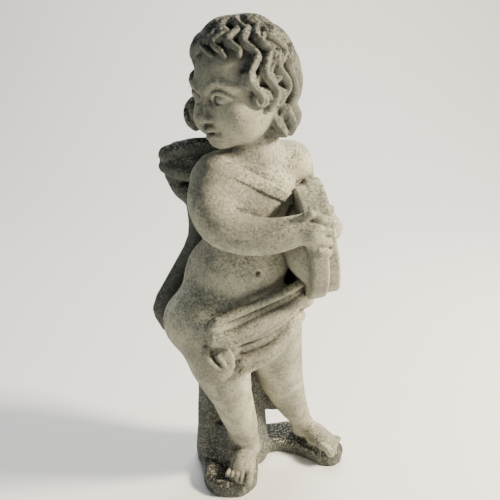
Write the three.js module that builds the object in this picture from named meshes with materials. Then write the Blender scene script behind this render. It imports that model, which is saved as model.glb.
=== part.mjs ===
import * as THREE from 'three';

// A putto in cast stone, holding a pair of cymbals, on a low rock base.
// Millimetres, +Z up, -Y the side that faces the viewer, +X to the viewer's right.
// The origin is on the underside of the base, plumb below the body.

// Driving sizes, in millimetres.
const figureHeight = 870;
const baseThickness = 30;
const baseMargin = 8;
const strapWidth = 18;
const strapRelief = 3;
const cymbalDiameter = 204;
const cymbalThickness = 30;

// How finely the solid is cut: the width of a cell, and the number of flat faces that it keeps.
const cellSize = 4.6;
const faceBudget = 9600;

// The figure's pose and carving are in thousandths of its height, from the sole up.
const share = figureHeight / 1000;
const place = (x, y, z) => new THREE.Vector3(x * share, y * share, baseThickness + z * share);
const degrees = (angle) => THREE.MathUtils.degToRad(angle);
const mix = THREE.MathUtils.lerp;

// The three directions of a body mass: turn is from the viewer towards the viewer's left,
// nod is downwards and lean is towards the mass's own left.
function facing(turn, nod = 0, lean = 0) {
  const t = degrees(turn);
  const n = degrees(nod);
  const front = new THREE.Vector3(-Math.sin(t) * Math.cos(n), -Math.cos(t) * Math.cos(n), -Math.sin(n));
  const side = new THREE.Vector3(Math.cos(t), -Math.sin(t), 0).applyAxisAngle(front, degrees(lean));
  const up = new THREE.Vector3().crossVectors(front, side);
  return { side, front, up };
}

// Smooth joins and cuts of two signed distances, over a fillet width.
const farAway = 1e4;
const tiny = 1e-6;
function join(a, b, fillet) {
  const reach = Math.max(fillet - Math.abs(a - b), 0);
  return Math.min(a, b) - (fillet > 0 ? reach * reach / (4 * fillet) : 0);
}
const cut = (a, b, fillet) => -join(-a, b, fillet);

// The box round a few points, with a margin.
const boxRound = (points, margin) => new THREE.Box3().setFromPoints(points).expandByScalar(margin);

// An egg-shaped mass. Radii go sideways, forwards and up.
function egg(center, radii, axes, fillet) {
  const c = place(...center);
  const [rs, rf, ru] = radii.map((r) => r * share);
  const { side, front, up } = axes;
  return {
    fillet: fillet * share,
    box: boxRound([c], Math.max(rs, rf, ru)),
    distance(x, y, z) {
      const dx = x - c.x;
      const dy = y - c.y;
      const dz = z - c.z;
      const s = (dx * side.x + dy * side.y + dz * side.z) / rs;
      const f = (dx * front.x + dy * front.y + dz * front.z) / rf;
      const u = (dx * up.x + dy * up.y + dz * up.z) / ru;
      const reach = Math.hypot(s, f, u);
      const slope = Math.hypot(s / rs, f / rf, u / ru);
      return slope > 0 ? reach * (reach - 1) / slope : -Math.min(rs, rf, ru);
    },
  };
}

// A limb, fold or lock: a round body along a smooth curve, whose radius changes from knot to knot.
// It may be flattened along one direction.
function limb(knots, fillet, options = {}) {
  const steps = options.steps ?? 3;
  const thin = options.thin ?? 1;
  const flatWay = options.flatWay ? options.flatWay.clone().normalize() : null;
  const curve = new THREE.CatmullRomCurve3(knots.map(([x, y, z]) => place(x, y, z)));
  const count = knots.length > 2 ? (knots.length - 1) * steps : 1;
  const stations = [];
  for (let i = 0; i <= count; i += 1) {
    const t = i / count;
    const knot = Math.min(Math.floor(t * (knots.length - 1)), knots.length - 2);
    const radius = mix(knots[knot][3], knots[knot + 1][3], t * (knots.length - 1) - knot);
    stations.push({ p: curve.getPoint(t), r: radius * share });
  }
  const box = boxRound(stations.map((s) => s.p), Math.max(...stations.map((s) => s.r)));
  const spans = stations.slice(1).map((b, i) => {
    const a = stations[i];
    const way = b.p.clone().sub(a.p);
    return { a: a.p, way, square: way.lengthSq(), r0: a.r, dr: b.r - a.r };
  });
  return {
    fillet: fillet * share,
    box,
    distance(x, y, z) {
      let best = Infinity;
      for (const { a, way, square, r0, dr } of spans) {
        const dx = x - a.x;
        const dy = y - a.y;
        const dz = z - a.z;
        const t = Math.min(Math.max((dx * way.x + dy * way.y + dz * way.z) / square, 0), 1);
        let ex = dx - way.x * t;
        let ey = dy - way.y * t;
        let ez = dz - way.z * t;
        if (flatWay) {
          const off = (ex * flatWay.x + ey * flatWay.y + ez * flatWay.z) * (1 / thin - 1);
          ex += flatWay.x * off;
          ey += flatWay.y * off;
          ez += flatWay.z * off;
        }
        best = Math.min(best, Math.sqrt(ex * ex + ey * ey + ez * ez) - r0 - dr * t);
      }
      return flatWay ? best * thin : best;
    },
  };
}

// A round plate with softened edges, as a part of its half thickness.
const plateSoftness = 0.4;
function plate(center, radius, halfThickness, axis, fillet) {
  const c = place(...center);
  const soft = halfThickness * plateSoftness;
  return {
    fillet: fillet * share,
    box: boxRound([c], Math.hypot(radius, halfThickness)),
    distance(x, y, z) {
      const dx = x - c.x;
      const dy = y - c.y;
      const dz = z - c.z;
      const along = dx * axis.x + dy * axis.y + dz * axis.z;
      const out = Math.sqrt(Math.max(dx * dx + dy * dy + dz * dz - along * along, 0)) - radius + soft;
      const over = Math.abs(along) - halfThickness + soft;
      return Math.hypot(Math.max(out, 0), Math.max(over, 0)) + Math.min(Math.max(out, over), 0) - soft;
    },
  };
}

// Folds of cloth between two edges: limbs side by side, whose girths repeat the swells in turn.
// Each row is a curve across the cloth. The first fold may be cut short, to firstRows rows.
const edgeSwell = 0.8;
function folds(rows, count, radius, fillet, swells, firstRows = rows.length) {
  const curves = rows.map((row) => new THREE.CatmullRomCurve3(row.map((p) => new THREE.Vector3(...p))));
  const made = [];
  for (let i = 0; i < count; i += 1) {
    const wide = radius * (i === 0 && firstRows < rows.length ? edgeSwell : swells[i % swells.length]);
    const knots = curves.map((curve) => [...curve.getPoint(i / (count - 1)).toArray(), wide]);
    made.push(limb(i === 0 ? knots.slice(0, firstRows) : knots, fillet, { steps: 2 }));
  }
  return made;
}

// Trunk, neck and pelvis.
const chestWay = facing(-30);
const bellyWay = facing(-25);
const hipWay = facing(-24);
const navel = egg([19, -118, 524], [8, 14, 8], bellyWay, 4);
const torso = [
  egg([2, -24, 642], [92, 74, 104], chestWay, 0),
  egg([-14, -36, 522], [97, 82, 92], bellyWay, 44),
  egg([-30, -34, 418], [112, 80, 78], hipWay, 30),
  limb([[-58, -58, 700, 48], [8, -20, 728, 44], [72, 12, 712, 46]], 26),
  limb([[12, -24, 730, 50], [3, -36, 800, 44]], 22),
  egg([-22, -84, 668], [40, 24, 34], chestWay, 26),
  egg([52, -56, 672], [38, 24, 34], chestWay, 26),
  egg([-112, -14, 378], [76, 74, 74], hipWay, 26),
  egg([-12, 36, 384], [70, 70, 72], hipWay, 26),
  egg([-90, -18, 462], [49, 56, 90], hipWay, 30),
];

// Legs and feet. The right leg carries the weight and the left one trails.
const legs = [
  limb([[-84, -52, 400, 78], [-66, -60, 310, 66], [-42, -56, 222, 45], [-30, -44, 170, 41],
    [-17, -20, 108, 35], [-8, 0, 58, 26], [-6, 10, 26, 27]], 26, { steps: 7 }),
  limb([[42, -14, 392, 70], [54, 0, 310, 62], [70, 32, 222, 53], [86, 54, 160, 45],
    [107, 76, 98, 35], [126, 92, 54, 26], [130, 98, 28, 27]], 26, { steps: 7 }),
];

// A foot lies from heel to toes. Its way is the compass direction of the toes,
// and inner is 1 or -1 for the side on which the big toe lies.
const toeCount = 5;
const bigToe = { aside: 24, girth: 10, reach: 0.97 };
const smallToe = { aside: 8, step: 11.5, girth: 7, thinner: 0.2, shorter: 0.045 };
function foot(heel, toeWay, length, inner) {
  const way = new THREE.Vector2(Math.sin(degrees(toeWay)), -Math.cos(degrees(toeWay)));
  const across = new THREE.Vector2(-way.y, way.x);
  const spot = (along, aside, z, r) => [
    heel[0] + way.x * along + across.x * aside, heel[1] + way.y * along + across.y * aside, z, r];
  const masses = [
    limb([spot(0, 0, 20, 24), spot(length * 0.4, 0, 22, 25), spot(length * 0.7, 0, 12, 23)], 16),
    limb([spot(length * 0.45, -10, 10, 19), spot(length * 0.72, -12, 9, 16)], 12),
    limb([spot(length * 0.45, 10, 10, 19), spot(length * 0.72, 12, 9, 16)], 12),
  ];
  for (let toe = 0; toe < toeCount; toe += 1) {
    const aside = inner * (toe === 0 ? bigToe.aside : smallToe.aside - smallToe.step * (toe - 1));
    const girth = toe === 0 ? bigToe.girth : smallToe.girth - toe * smallToe.thinner;
    const reach = length * (toe === 0 ? bigToe.reach : 1 - toe * smallToe.shorter);
    masses.push(limb([spot(length * 0.7, aside * 0.9, 13, girth), spot(length * 0.87, aside, 15, girth),
      spot(reach, aside, 8, girth)], 1.5));
  }
  return masses;
}
const feet = [...foot([-6, 24], -11, 116, 1), ...foot([132, 100], 48, 110, -1)];

// Arms. The right forearm crosses the belly, the left one is behind the cymbals.
const arms = [
  limb([[-66, -66, 694, 49], [-72, -92, 658, 46], [-54, -118, 624, 41], [-12, -128, 609, 38],
    [42, -134, 608, 34], [92, -140, 622, 28]], 12, { steps: 5 }),
  limb([[80, 16, 712, 47], [94, 50, 664, 43], [104, 76, 622, 40], [130, 54, 602, 34],
    [156, 10, 592, 27]], 12, { steps: 5 }),
];

// The pair of cymbals, held on edge.
const cymbalRadius = cymbalDiameter / 2;
const cymbalAxis = (turn, tip) => {
  const axis = new THREE.Vector3(-Math.cos(degrees(turn)), -Math.sin(degrees(turn)), 0);
  return axis.applyAxisAngle(new THREE.Vector3(0, 1, 0), degrees(tip)).normalize();
};
const nearAxis = cymbalAxis(8, -8);
const farAxis = cymbalAxis(3, -10);
const alongAxis = (center, axis, distance) => [
  center[0] + axis.x * distance, center[1] + axis.y * distance, center[2] + axis.z * distance];
const nearCymbal = [113, -44, 568];
const farCymbal = [142, -33, 577];
const nearDome = [44, 78, 78];
const farDome = [24, 56, 56];
const domeWay = (axis) => {
  const up = new THREE.Vector3(0, 0, 1).addScaledVector(axis, -axis.z).normalize();
  return { side: axis, front: new THREE.Vector3().crossVectors(up, axis), up };
};
const cymbals = [
  plate(nearCymbal, cymbalRadius, cymbalThickness / 2, nearAxis, 2),
  egg(alongAxis(nearCymbal, nearAxis, 8), nearDome, domeWay(nearAxis), 18),
  plate(farCymbal, cymbalRadius, cymbalThickness / 2, farAxis, 2),
  egg(alongAxis(farCymbal, farAxis, 6), farDome, domeWay(farAxis), 14),
];

// Hands: a palm, four fingers side by side and a thumb.
const fingerCount = 4;
function hand(wrist, knuckles, tips, spread, radius, thumb) {
  const masses = [limb([[...wrist, 27], [...knuckles, 27]], 12)];
  for (let finger = 0; finger < fingerCount; finger += 1) {
    const off = mix(-1, 1, finger / (fingerCount - 1));
    const start = knuckles.map((v, k) => v + spread[k] * off);
    const end = tips.map((v, k) => v + spread[k] * off * 1.05);
    const middle = start.map((v, k) => (v + end[k]) / 2 - (k === 1 ? 6 : 0));
    masses.push(limb([[...start, radius], [...middle, radius], [...end, radius * 0.9]], 2));
  }
  masses.push(limb(thumb, 3));
  return masses;
}
const hands = [
  ...hand([92, -139, 622], [112, -146, 620], [141, -150, 612], [1, 0, -30], 9.8,
    [[94, -144, 638, 11], [99, -152, 648, 9.5], [110, -154, 655, 9]]),
  ...hand([156, 10, 592], [163, -16, 586], [165, -56, 578], [2, 0, -27], 9.5,
    [[158, -2, 608, 12], [160, -18, 624, 10], [160, -34, 632, 9]]),
];

// The head, turned to its right and bowed a little. Its masses are placed
// sideways, forwards and upwards from the middle of the skull.
const headWay = facing(49, 6, 3);
const headCenter = [-13, -52, 881];
function inHead(s, f, u) {
  const { side, front, up } = headWay;
  return [0, 1, 2].map((k) => headCenter[k] + side.getComponent(k) * s
    + front.getComponent(k) * f + up.getComponent(k) * u);
}
const headEgg = (at, radii, fillet) => egg(inHead(...at), radii, headWay, fillet);
const headLimb = (knots, fillet, options) => limb(
  knots.map(([s, f, u, r]) => [...inHead(s, f, u), r]), fillet, options);
const bothSides = (make) => [make(-1), make(1)];
const face = [
  headEgg([0, 0, 0], [80, 94, 96], 0),
  headEgg([0, 28, -56], [69, 60, 54], 30),
  ...bothSides((m) => headEgg([m * 37, 52, -57], [35, 34, 32], 18)),
  headEgg([0, 64, -94], [25, 24, 18], 16),
  headLimb([[0, 87, -12, 8], [0, 95, -33, 8.5], [0, 104, -50, 11]], 8),
  ...bothSides((m) => headLimb([[m * 8, 96, -53, 7.5], [m * 11, 91, -54, 6.5]], 3)),
  headLimb([[-17, 84, -76, 4], [0, 94, -73, 6], [17, 84, -76, 4]], 3),
  headLimb([[-13, 85, -85, 4], [0, 91, -87, 6.5], [13, 85, -85, 4]], 3),
  ...bothSides((m) => headLimb([[m * 11, 91, -3, 6], [m * 32, 87, 7, 7.5], [m * 56, 66, -4, 6]], 7)),
];
const faceCuts = [
  ...bothSides((m) => headEgg([m * 32, 95, -20], [21, 15, 13], 6)),
  headLimb([[-16, 90, -80, 2.6], [0, 100, -80, 2.6], [16, 90, -80, 2.6]], 2),
];
const eyes = [
  ...bothSides((m) => headEgg([m * 32, 71, -21], [17, 16.5, 12], 2)),
  ...bothSides((m) => headLimb([[m * 14, 84, -24, 3], [m * 23, 90, -13, 4.2], [m * 36, 86, -10, 4.2],
    [m * 52, 71, -21, 3.4]], 2)),
];
const ears = bothSides((m) => headLimb([[m * 80, 6, -8, 7], [m * 88, -2, -16, 7], [m * 88, 2, -32, 7],
  [m * 80, 12, -46, 8]], 5));

// Hair: wavy locks from the crown, in rows, and curls at their ends.
const scalp = [84, 98, 98];
function onScalp(around, down, lift) {
  const a = degrees(around);
  const d = degrees(down);
  return [
    Math.sin(d) * Math.sin(a) * (scalp[0] + lift),
    Math.sin(d) * Math.cos(a) * (scalp[1] + lift),
    Math.cos(d) * (scalp[2] + lift)];
}
const lockBends = 5;
function lock(around, from, to, radius, wave) {
  const knots = [];
  for (let i = 0; i <= lockBends; i += 1) {
    const t = i / lockBends;
    const sway = wave * Math.sin(t * Math.PI * 2.2 + around * 0.03);
    knots.push([...onScalp(around + sway, mix(from, to, t), 4 + 5 * Math.sin(t * Math.PI)),
      radius * mix(1, 0.7, t)]);
  }
  return headLimb(knots, 3, { steps: 2 });
}
// A curl winds once round a point of the scalp, one way or the other.
const curlBends = 7;
function curl(around, down, size, radius, winding) {
  const knots = [];
  for (let i = 0; i <= curlBends; i += 1) {
    const t = i / curlBends;
    const angle = winding * t * Math.PI * 2.4;
    const out = size * mix(1, 0.25, t);
    const spot = onScalp(around + Math.cos(angle) * out, down + Math.sin(angle) * out, 4 + 4 * t);
    knots.push([...spot, radius]);
  }
  return headLimb(knots, 3, { steps: 2 });
}
// The hair grows high over the forehead and low behind the ears.
const fromFront = (around) => Math.abs(THREE.MathUtils.euclideanModulo(around + 180, 360) - 180);
const hairline = (around) => mix(57, 76, THREE.MathUtils.clamp((fromFront(around) - 38) / 32, 0, 1));
const behindEars = (around) => fromFront(around) > 102;
// Evenly spread bearings between two limits.
const spread = (count, from, to) => Array.from({ length: count }, (v, i) => mix(from, to, i / (count - 1)));
const crownLocks = 12;
const middleLocks = 19;
const sideLocks = 14;
const lowCurls = 10;
const sideCurls = 8;
const hair = [
  headEgg([0, -13, 14], [88, 99, 95], 4),
  ...spread(crownLocks + 1, 0, 360).slice(1).map((around) => lock(around, 6, 46, 11.5, 10)),
  ...spread(middleLocks + 1, 10, 370).slice(1).map((around) => lock(around, 34, hairline(around), 11.5, 8)),
  ...spread(sideLocks, 66, 294).map((around) => lock(around, 66, behindEars(around) ? 136 : 112, 12.5, 5)),
  ...spread(lowCurls, 72, 280).map((around, i) => curl(around, behindEars(around) ? 130 : 106, 9, 7.5,
    i % 2 ? 1 : -1)),
  ...spread(sideCurls, 60, 288).map((around, i) => curl(around, 84, 9, 7.5, i % 2 ? -1 : 1)),
];

// A round tuft of hair: an egg with locks that wind down over it.
const tuftBends = 4;
function tuft(center, radii, count, radius) {
  const masses = [headEgg(center, radii.map((r) => r - 2), 8)];
  for (let k = 0; k < count; k += 1) {
    const knots = [];
    for (let i = 0; i <= tuftBends; i += 1) {
      const t = i / tuftBends;
      const around = 2 * Math.PI * k / count + 1.3 * t;
      const down = degrees(20 + 128 * t);
      const way = [Math.sin(down) * Math.sin(around), Math.sin(down) * Math.cos(around), Math.cos(down)];
      knots.push([...way.map((w, n) => center[n] + radii[n] * w), radius]);
    }
    masses.push(headLimb(knots, 2, { steps: 2 }));
  }
  return masses;
}
hair.push(...tuft([-102, 36, -58], [20, 24, 28], 5, 9), ...tuft([44, -40, -72], [28, 38, 34], 7, 10));

// The cloak: a bunch on the right shoulder, folds down the back, and its end wrapped round the hips.
const bunch = [
  egg([-124, 10, 716], [54, 34, 32], facing(0, 0, 4), 0),
  limb([[-165, 0, 735, 18], [-120, -2, 750, 17], [-72, 0, 752, 18]], 4),
  limb([[-168, 2, 712, 16], [-140, -14, 704, 18], [-96, -14, 696, 18]], 4),
  limb([[-160, 6, 692, 13], [-138, -6, 664, 17], [-108, -4, 642, 17]], 4),
  limb([[-136, 4, 660, 14], [-116, -8, 640, 15]], 3),
];
const bunchCuts = [
  limb([[-150, -20, 737, 4], [-130, -28, 729, 6], [-112, -32, 717, 6], [-98, -30, 700, 4]], 5),
  limb([[-170, -8, 680, 4], [-148, -22, 681, 6], [-124, -26, 685, 5]], 5),
];
const row = (z, points) => points.map(([x, y]) => [x, y, z]);
const cloakRows = [
  row(742, [[-150, 20], [-100, 34], [-44, 44], [8, 46], [56, 34]]),
  row(640, [[-122, 30], [-85, 48], [-38, 58], [20, 60], [84, 46]]),
  row(549, [[-120, 46], [-80, 62], [-30, 70], [30, 70], [100, 44]]),
  row(460, [[-164, 52], [-112, 80], [-45, 98], [30, 96], [108, 46]]),
  row(375, [[-206, 50], [-140, 84], [-55, 112], [30, 108], [104, 56]]),
  row(330, [[-190, 56], [-130, 88], [-52, 110], [28, 106], [96, 60]]),
  row(290, [[-152, 66], [-112, 88], [-50, 106], [25, 102], [88, 66]]),
  row(200, [[-122, 62], [-95, 80], [-45, 92], [20, 90], [72, 62]]),
  row(118, [[-118, 56], [-90, 70], [-45, 82], [15, 80], [64, 60]]),
];
const cloakFolds = 10;
const cornerRow = 6;
const cloak = folds(cloakRows, cloakFolds, 19, 20, [1.1, 0.82], cornerRow);

// The wrapped end: two panels of cloth that hang across the front, and a folded corner below.
// The rows of a panel run from its upper edge to its hem and go from the viewer's right to the left.
// Its folds run across the rows, each some way down them, and a hollow lies back behind them.
const clothProfile = [
  { down: 0, girth: 9, back: 0 },
  { down: 0.36, girth: 10, back: 10 },
  { down: 0.72, girth: 12, back: -1 },
  { down: 1, girth: 7, back: -4 },
];
function panel(rows, hollowness, fillet) {
  const curves = rows.map((points) => new THREE.CatmullRomCurve3(
    points.map((p) => new THREE.Vector3(...p))));
  return clothProfile.map(({ down, girth, back }) => limb(curves.map((curve, i) => {
    const { x, y, z } = curve.getPoint(down);
    return [x, y + back * hollowness[i], z, girth];
  }), fillet));
}
const upperPanel = [
  [[112, -56, 486], [114, -46, 464], [114, -44, 444]],
  [[66, -100, 478], [68, -96, 452], [68, -98, 430]],
  [[14, -124, 464], [14, -122, 434], [14, -128, 408]],
  [[-36, -132, 444], [-38, -130, 412], [-40, -138, 384]],
  [[-64, -136, 432], [-72, -137, 408], [-70, -140, 388]],
];
const lowerPanel = [
  [[108, -32, 428], [108, -28, 404], [106, -30, 384]],
  [[78, -76, 418], [78, -72, 388], [80, -78, 364]],
  [[36, -98, 394], [38, -96, 362], [38, -106, 335]],
  [[-10, -104, 378], [-14, -104, 344], [-16, -118, 310]],
];
const loincloth = [
  ...panel(upperPanel, [1, 1, 1, 0.6, 0], 4),
  ...panel(lowerPanel, [1, 1, 1, 0.7], 4),
  limb([[-64, -136, 434, 9], [-80, -135, 410, 9], [-72, -140, 386, 8]], 4),
  egg([-58, -124, 346], [28, 11, 24], facing(8), 6),
  limb([[-88, -130, 370, 7], [-84, -134, 348, 8], [-60, -138, 328, 8], [-36, -134, 334, 7]], 4),
  limb([[-64, -134, 354, 6], [-52, -138, 338, 6], [-50, -138, 324, 6]], 3),
  limb([[112, -44, 486, 16], [122, -10, 476, 20], [118, 24, 470, 22], [100, 52, 466, 20]], 10),
  limb([[116, -34, 430, 14], [122, -4, 424, 18], [116, 30, 420, 20], [96, 60, 416, 20]], 10),
];

// The tree stump behind the right leg, with the hollow beside the calf.
const acrossTrunk = new THREE.Vector3(0, 1, 0);
const trunk = [
  limb([[-44, 62, -10, 90], [-44, 58, 60, 84], [-44, 58, 130, 80], [-38, 62, 240, 72],
    [-30, 60, 330, 60]], 20, { flatWay: acrossTrunk, thin: 0.72 }),
  limb([[-98, 20, 0, 26], [-100, 22, 70, 24], [-98, 18, 150, 24], [-88, 0, 240, 24]], 14),
  limb([[-60, 0, 0, 22], [-44, 0, 60, 22], [-30, 0, 100, 20]], 18),
];
const trunkCuts = [limb([[-80, -32, 150, 8], [-77, -12, 124, 11], [-70, 4, 100, 7]], 8)];

// The rock base, flat below, with a lobe under each foot and a neck between them.
// Its edge is slightly ragged and its top slightly uneven.
const baseLobes = [
  { from: [-46, 70], to: [-45, -30], radius: 54 },
  { from: [-40, 84], to: [96, 116], radius: 31 },
  { from: [112, 108], to: [192, 50], radius: 29 },
];
const lobeBlend = 26;
const baseEdge = 9;
const raggedness = 0.9;
const unevenness = 1.2;
function base() {
  const lobes = baseLobes.map(({ from, to, radius }) => {
    const a = place(...from, 0);
    return { a, way: place(...to, 0).sub(a), r: radius * share + baseMargin };
  });
  const soft = Math.min(baseEdge, baseThickness / 3);
  const ends = lobes.flatMap(({ a, way }) => [a, a.clone().add(way)]);
  const widest = Math.max(...lobes.map(({ r }) => r));
  return {
    fillet: 12 * share,
    box: boxRound(ends, widest + 2 * raggedness * share),
    distance(x, y, z) {
      let flat = farAway;
      for (const { a, way, r } of lobes) {
        const dx = x - a.x;
        const dy = y - a.y;
        const t = THREE.MathUtils.clamp((dx * way.x + dy * way.y) / way.lengthSq(), 0, 1);
        flat = join(flat, Math.hypot(dx - way.x * t, dy - way.y * t) - r, lobeBlend * share);
      }
      const bearing = Math.atan2(y, x);
      flat += (Math.sin(bearing * 5 + z / 9) + Math.sin(bearing * 11 - z / 6)) * raggedness * share;
      const top = z - baseThickness + Math.sin(x / 17) * Math.sin(y / 13) * unevenness * share;
      const out = flat + soft;
      const over = top + soft;
      return Math.hypot(Math.max(out, 0), Math.max(over, 0)) + Math.min(Math.max(out, over), 0) - soft;
    },
  };
}

// The strap of the cloak runs over the right shoulder and under the left arm, in low relief.
// It ends at the sides of the body, where the cloak's folds begin.
const strapUp = new THREE.Vector3(0.47, 0.05, 0.88).normalize();
const strapPoint = place(8, -60, 700);
const strapEnd = 20 * share;

// The figure is built up layer by layer: a later layer lies over the earlier ones with a fillet.
const seams = {
  strap: 3 * share,
  limbs: 14 * share,
  trunk: 14 * share,
  cloth: 4 * share,
  features: 3 * share,
  hair: 3 * share,
  head: 12 * share,
  held: 3 * share,
  base: 9 * share,
};
function evaluate(groups, x, y, z) {
  const reach = (masses) => {
    let d = farAway;
    for (const mass of masses) {
      d = join(d, mass.distance(x, y, z), mass.fillet);
    }
    return d;
  };
  const carve = (solid, hollows) => {
    let d = solid;
    for (const hollow of hollows) {
      d = cut(d, hollow.distance(x, y, z), hollow.fillet);
    }
    return d;
  };
  const body = reach(groups.body);
  let figure = carve(body, groups.navel);
  const above = (x - strapPoint.x) * strapUp.x + (y - strapPoint.y) * strapUp.y
    + (z - strapPoint.z) * strapUp.z;
  const band = Math.max(Math.abs(above) - strapWidth / 2, body - strapRelief, y - strapEnd);
  figure = join(figure, band, seams.strap);
  figure = join(figure, reach(groups.limbs), seams.limbs);
  figure = join(figure, reach(groups.trunk), seams.trunk);
  figure = carve(figure, groups.trunkCuts);
  const knot = carve(reach(groups.bunch), groups.bunchCuts);
  figure = join(figure, join(knot, reach(groups.cloth), seams.cloth), seams.cloth);
  let head = carve(reach(groups.face), groups.faceCuts);
  head = join(head, reach(groups.features), seams.features);
  head = join(head, reach(groups.hair), seams.hair);
  figure = join(figure, head, seams.head);
  figure = join(figure, reach(groups.held), seams.held);
  figure = join(figure, reach(groups.base), seams.base);
  return Math.max(figure, -z);
}
const layers = {
  body: [...torso, ...legs],
  navel: [navel],
  limbs: [...arms, ...feet],
  trunk,
  trunkCuts,
  bunch,
  bunchCuts,
  cloth: [...cloak, ...loincloth],
  face,
  faceCuts,
  features: [...eyes, ...ears],
  hair,
  held: [...cymbals, ...hands],
  base: [base()],
};

// The field is sampled at the corners of small cubes. Blocks of cubes far from the surface are skipped,
// and a block only looks at the masses whose fillets can reach it.
const block = 8;
const widestSeam = Math.max(...Object.values(seams));
const slack = 1.6;
function sample(bounds) {
  const origin = bounds.min.clone();
  origin.z = -cellSize / 2 - 2 * cellSize;
  const count = ['x', 'y', 'z'].map((k) => Math.ceil((bounds.max[k] - origin[k]) / cellSize) + 2);
  const [nx, ny, nz] = count;
  const values = new Float32Array(nx * ny * nz).fill(farAway);
  const halfDiagonal = block * cellSize * Math.sqrt(3) / 2;
  const center = new THREE.Vector3();
  const near = (mass) => mass.box.distanceToPoint(center)
    < halfDiagonal + Math.max(mass.fillet, widestSeam) + cellSize;
  for (let bz = 0; bz < nz; bz += block) {
    for (let by = 0; by < ny; by += block) {
      for (let bx = 0; bx < nx; bx += block) {
        center.set(bx, by, bz).addScalar(block / 2).multiplyScalar(cellSize).add(origin);
        const groups = {};
        for (const [name, masses] of Object.entries(layers)) {
          groups[name] = masses.filter(near);
        }
        const middle = evaluate(groups, center.x, center.y, center.z);
        const far = Math.abs(middle) > halfDiagonal * slack;
        for (let k = bz; k < Math.min(bz + block, nz); k += 1) {
          for (let j = by; j < Math.min(by + block, ny); j += 1) {
            for (let i = bx; i < Math.min(bx + block, nx); i += 1) {
              const d = far ? middle : evaluate(groups, origin.x + i * cellSize,
                origin.y + j * cellSize, origin.z + k * cellSize);
              values[i + nx * (j + ny * k)] = d === 0 ? tiny : d;
            }
          }
        }
      }
    }
  }
  return { origin, count, values };
}

// Four corners of a cell's side that are inside and outside by turns leave two readings.
// Such a corner is filled in, so that the surface never touches itself.
const filled = -0.2 * cellSize;
function settle({ count: [nx, ny, nz], values }) {
  const stride = [1, nx, nx * ny];
  const settleAt = (at) => {
    let changed = false;
    for (let axis = 0; axis < 3; axis += 1) {
      const a = at + stride[axis];
      const b = at + stride[(axis + 1) % 3];
      const first = values[at] < 0;
      const second = values[a] < 0;
      const opposite = values[a + b - at] < 0;
      if (first === opposite && second !== first && (values[b] < 0) === second) {
        values[first ? a : at] = filled;
        changed = true;
      }
    }
    return changed;
  };
  let changed = true;
  while (changed) {
    changed = false;
    for (let k = 0; k + 1 < nz; k += 1) {
      for (let j = 0; j + 1 < ny; j += 1) {
        for (let i = 0; i + 1 < nx; i += 1) {
          changed = settleAt(i + nx * (j + ny * k)) || changed;
        }
      }
    }
  }
}

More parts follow.
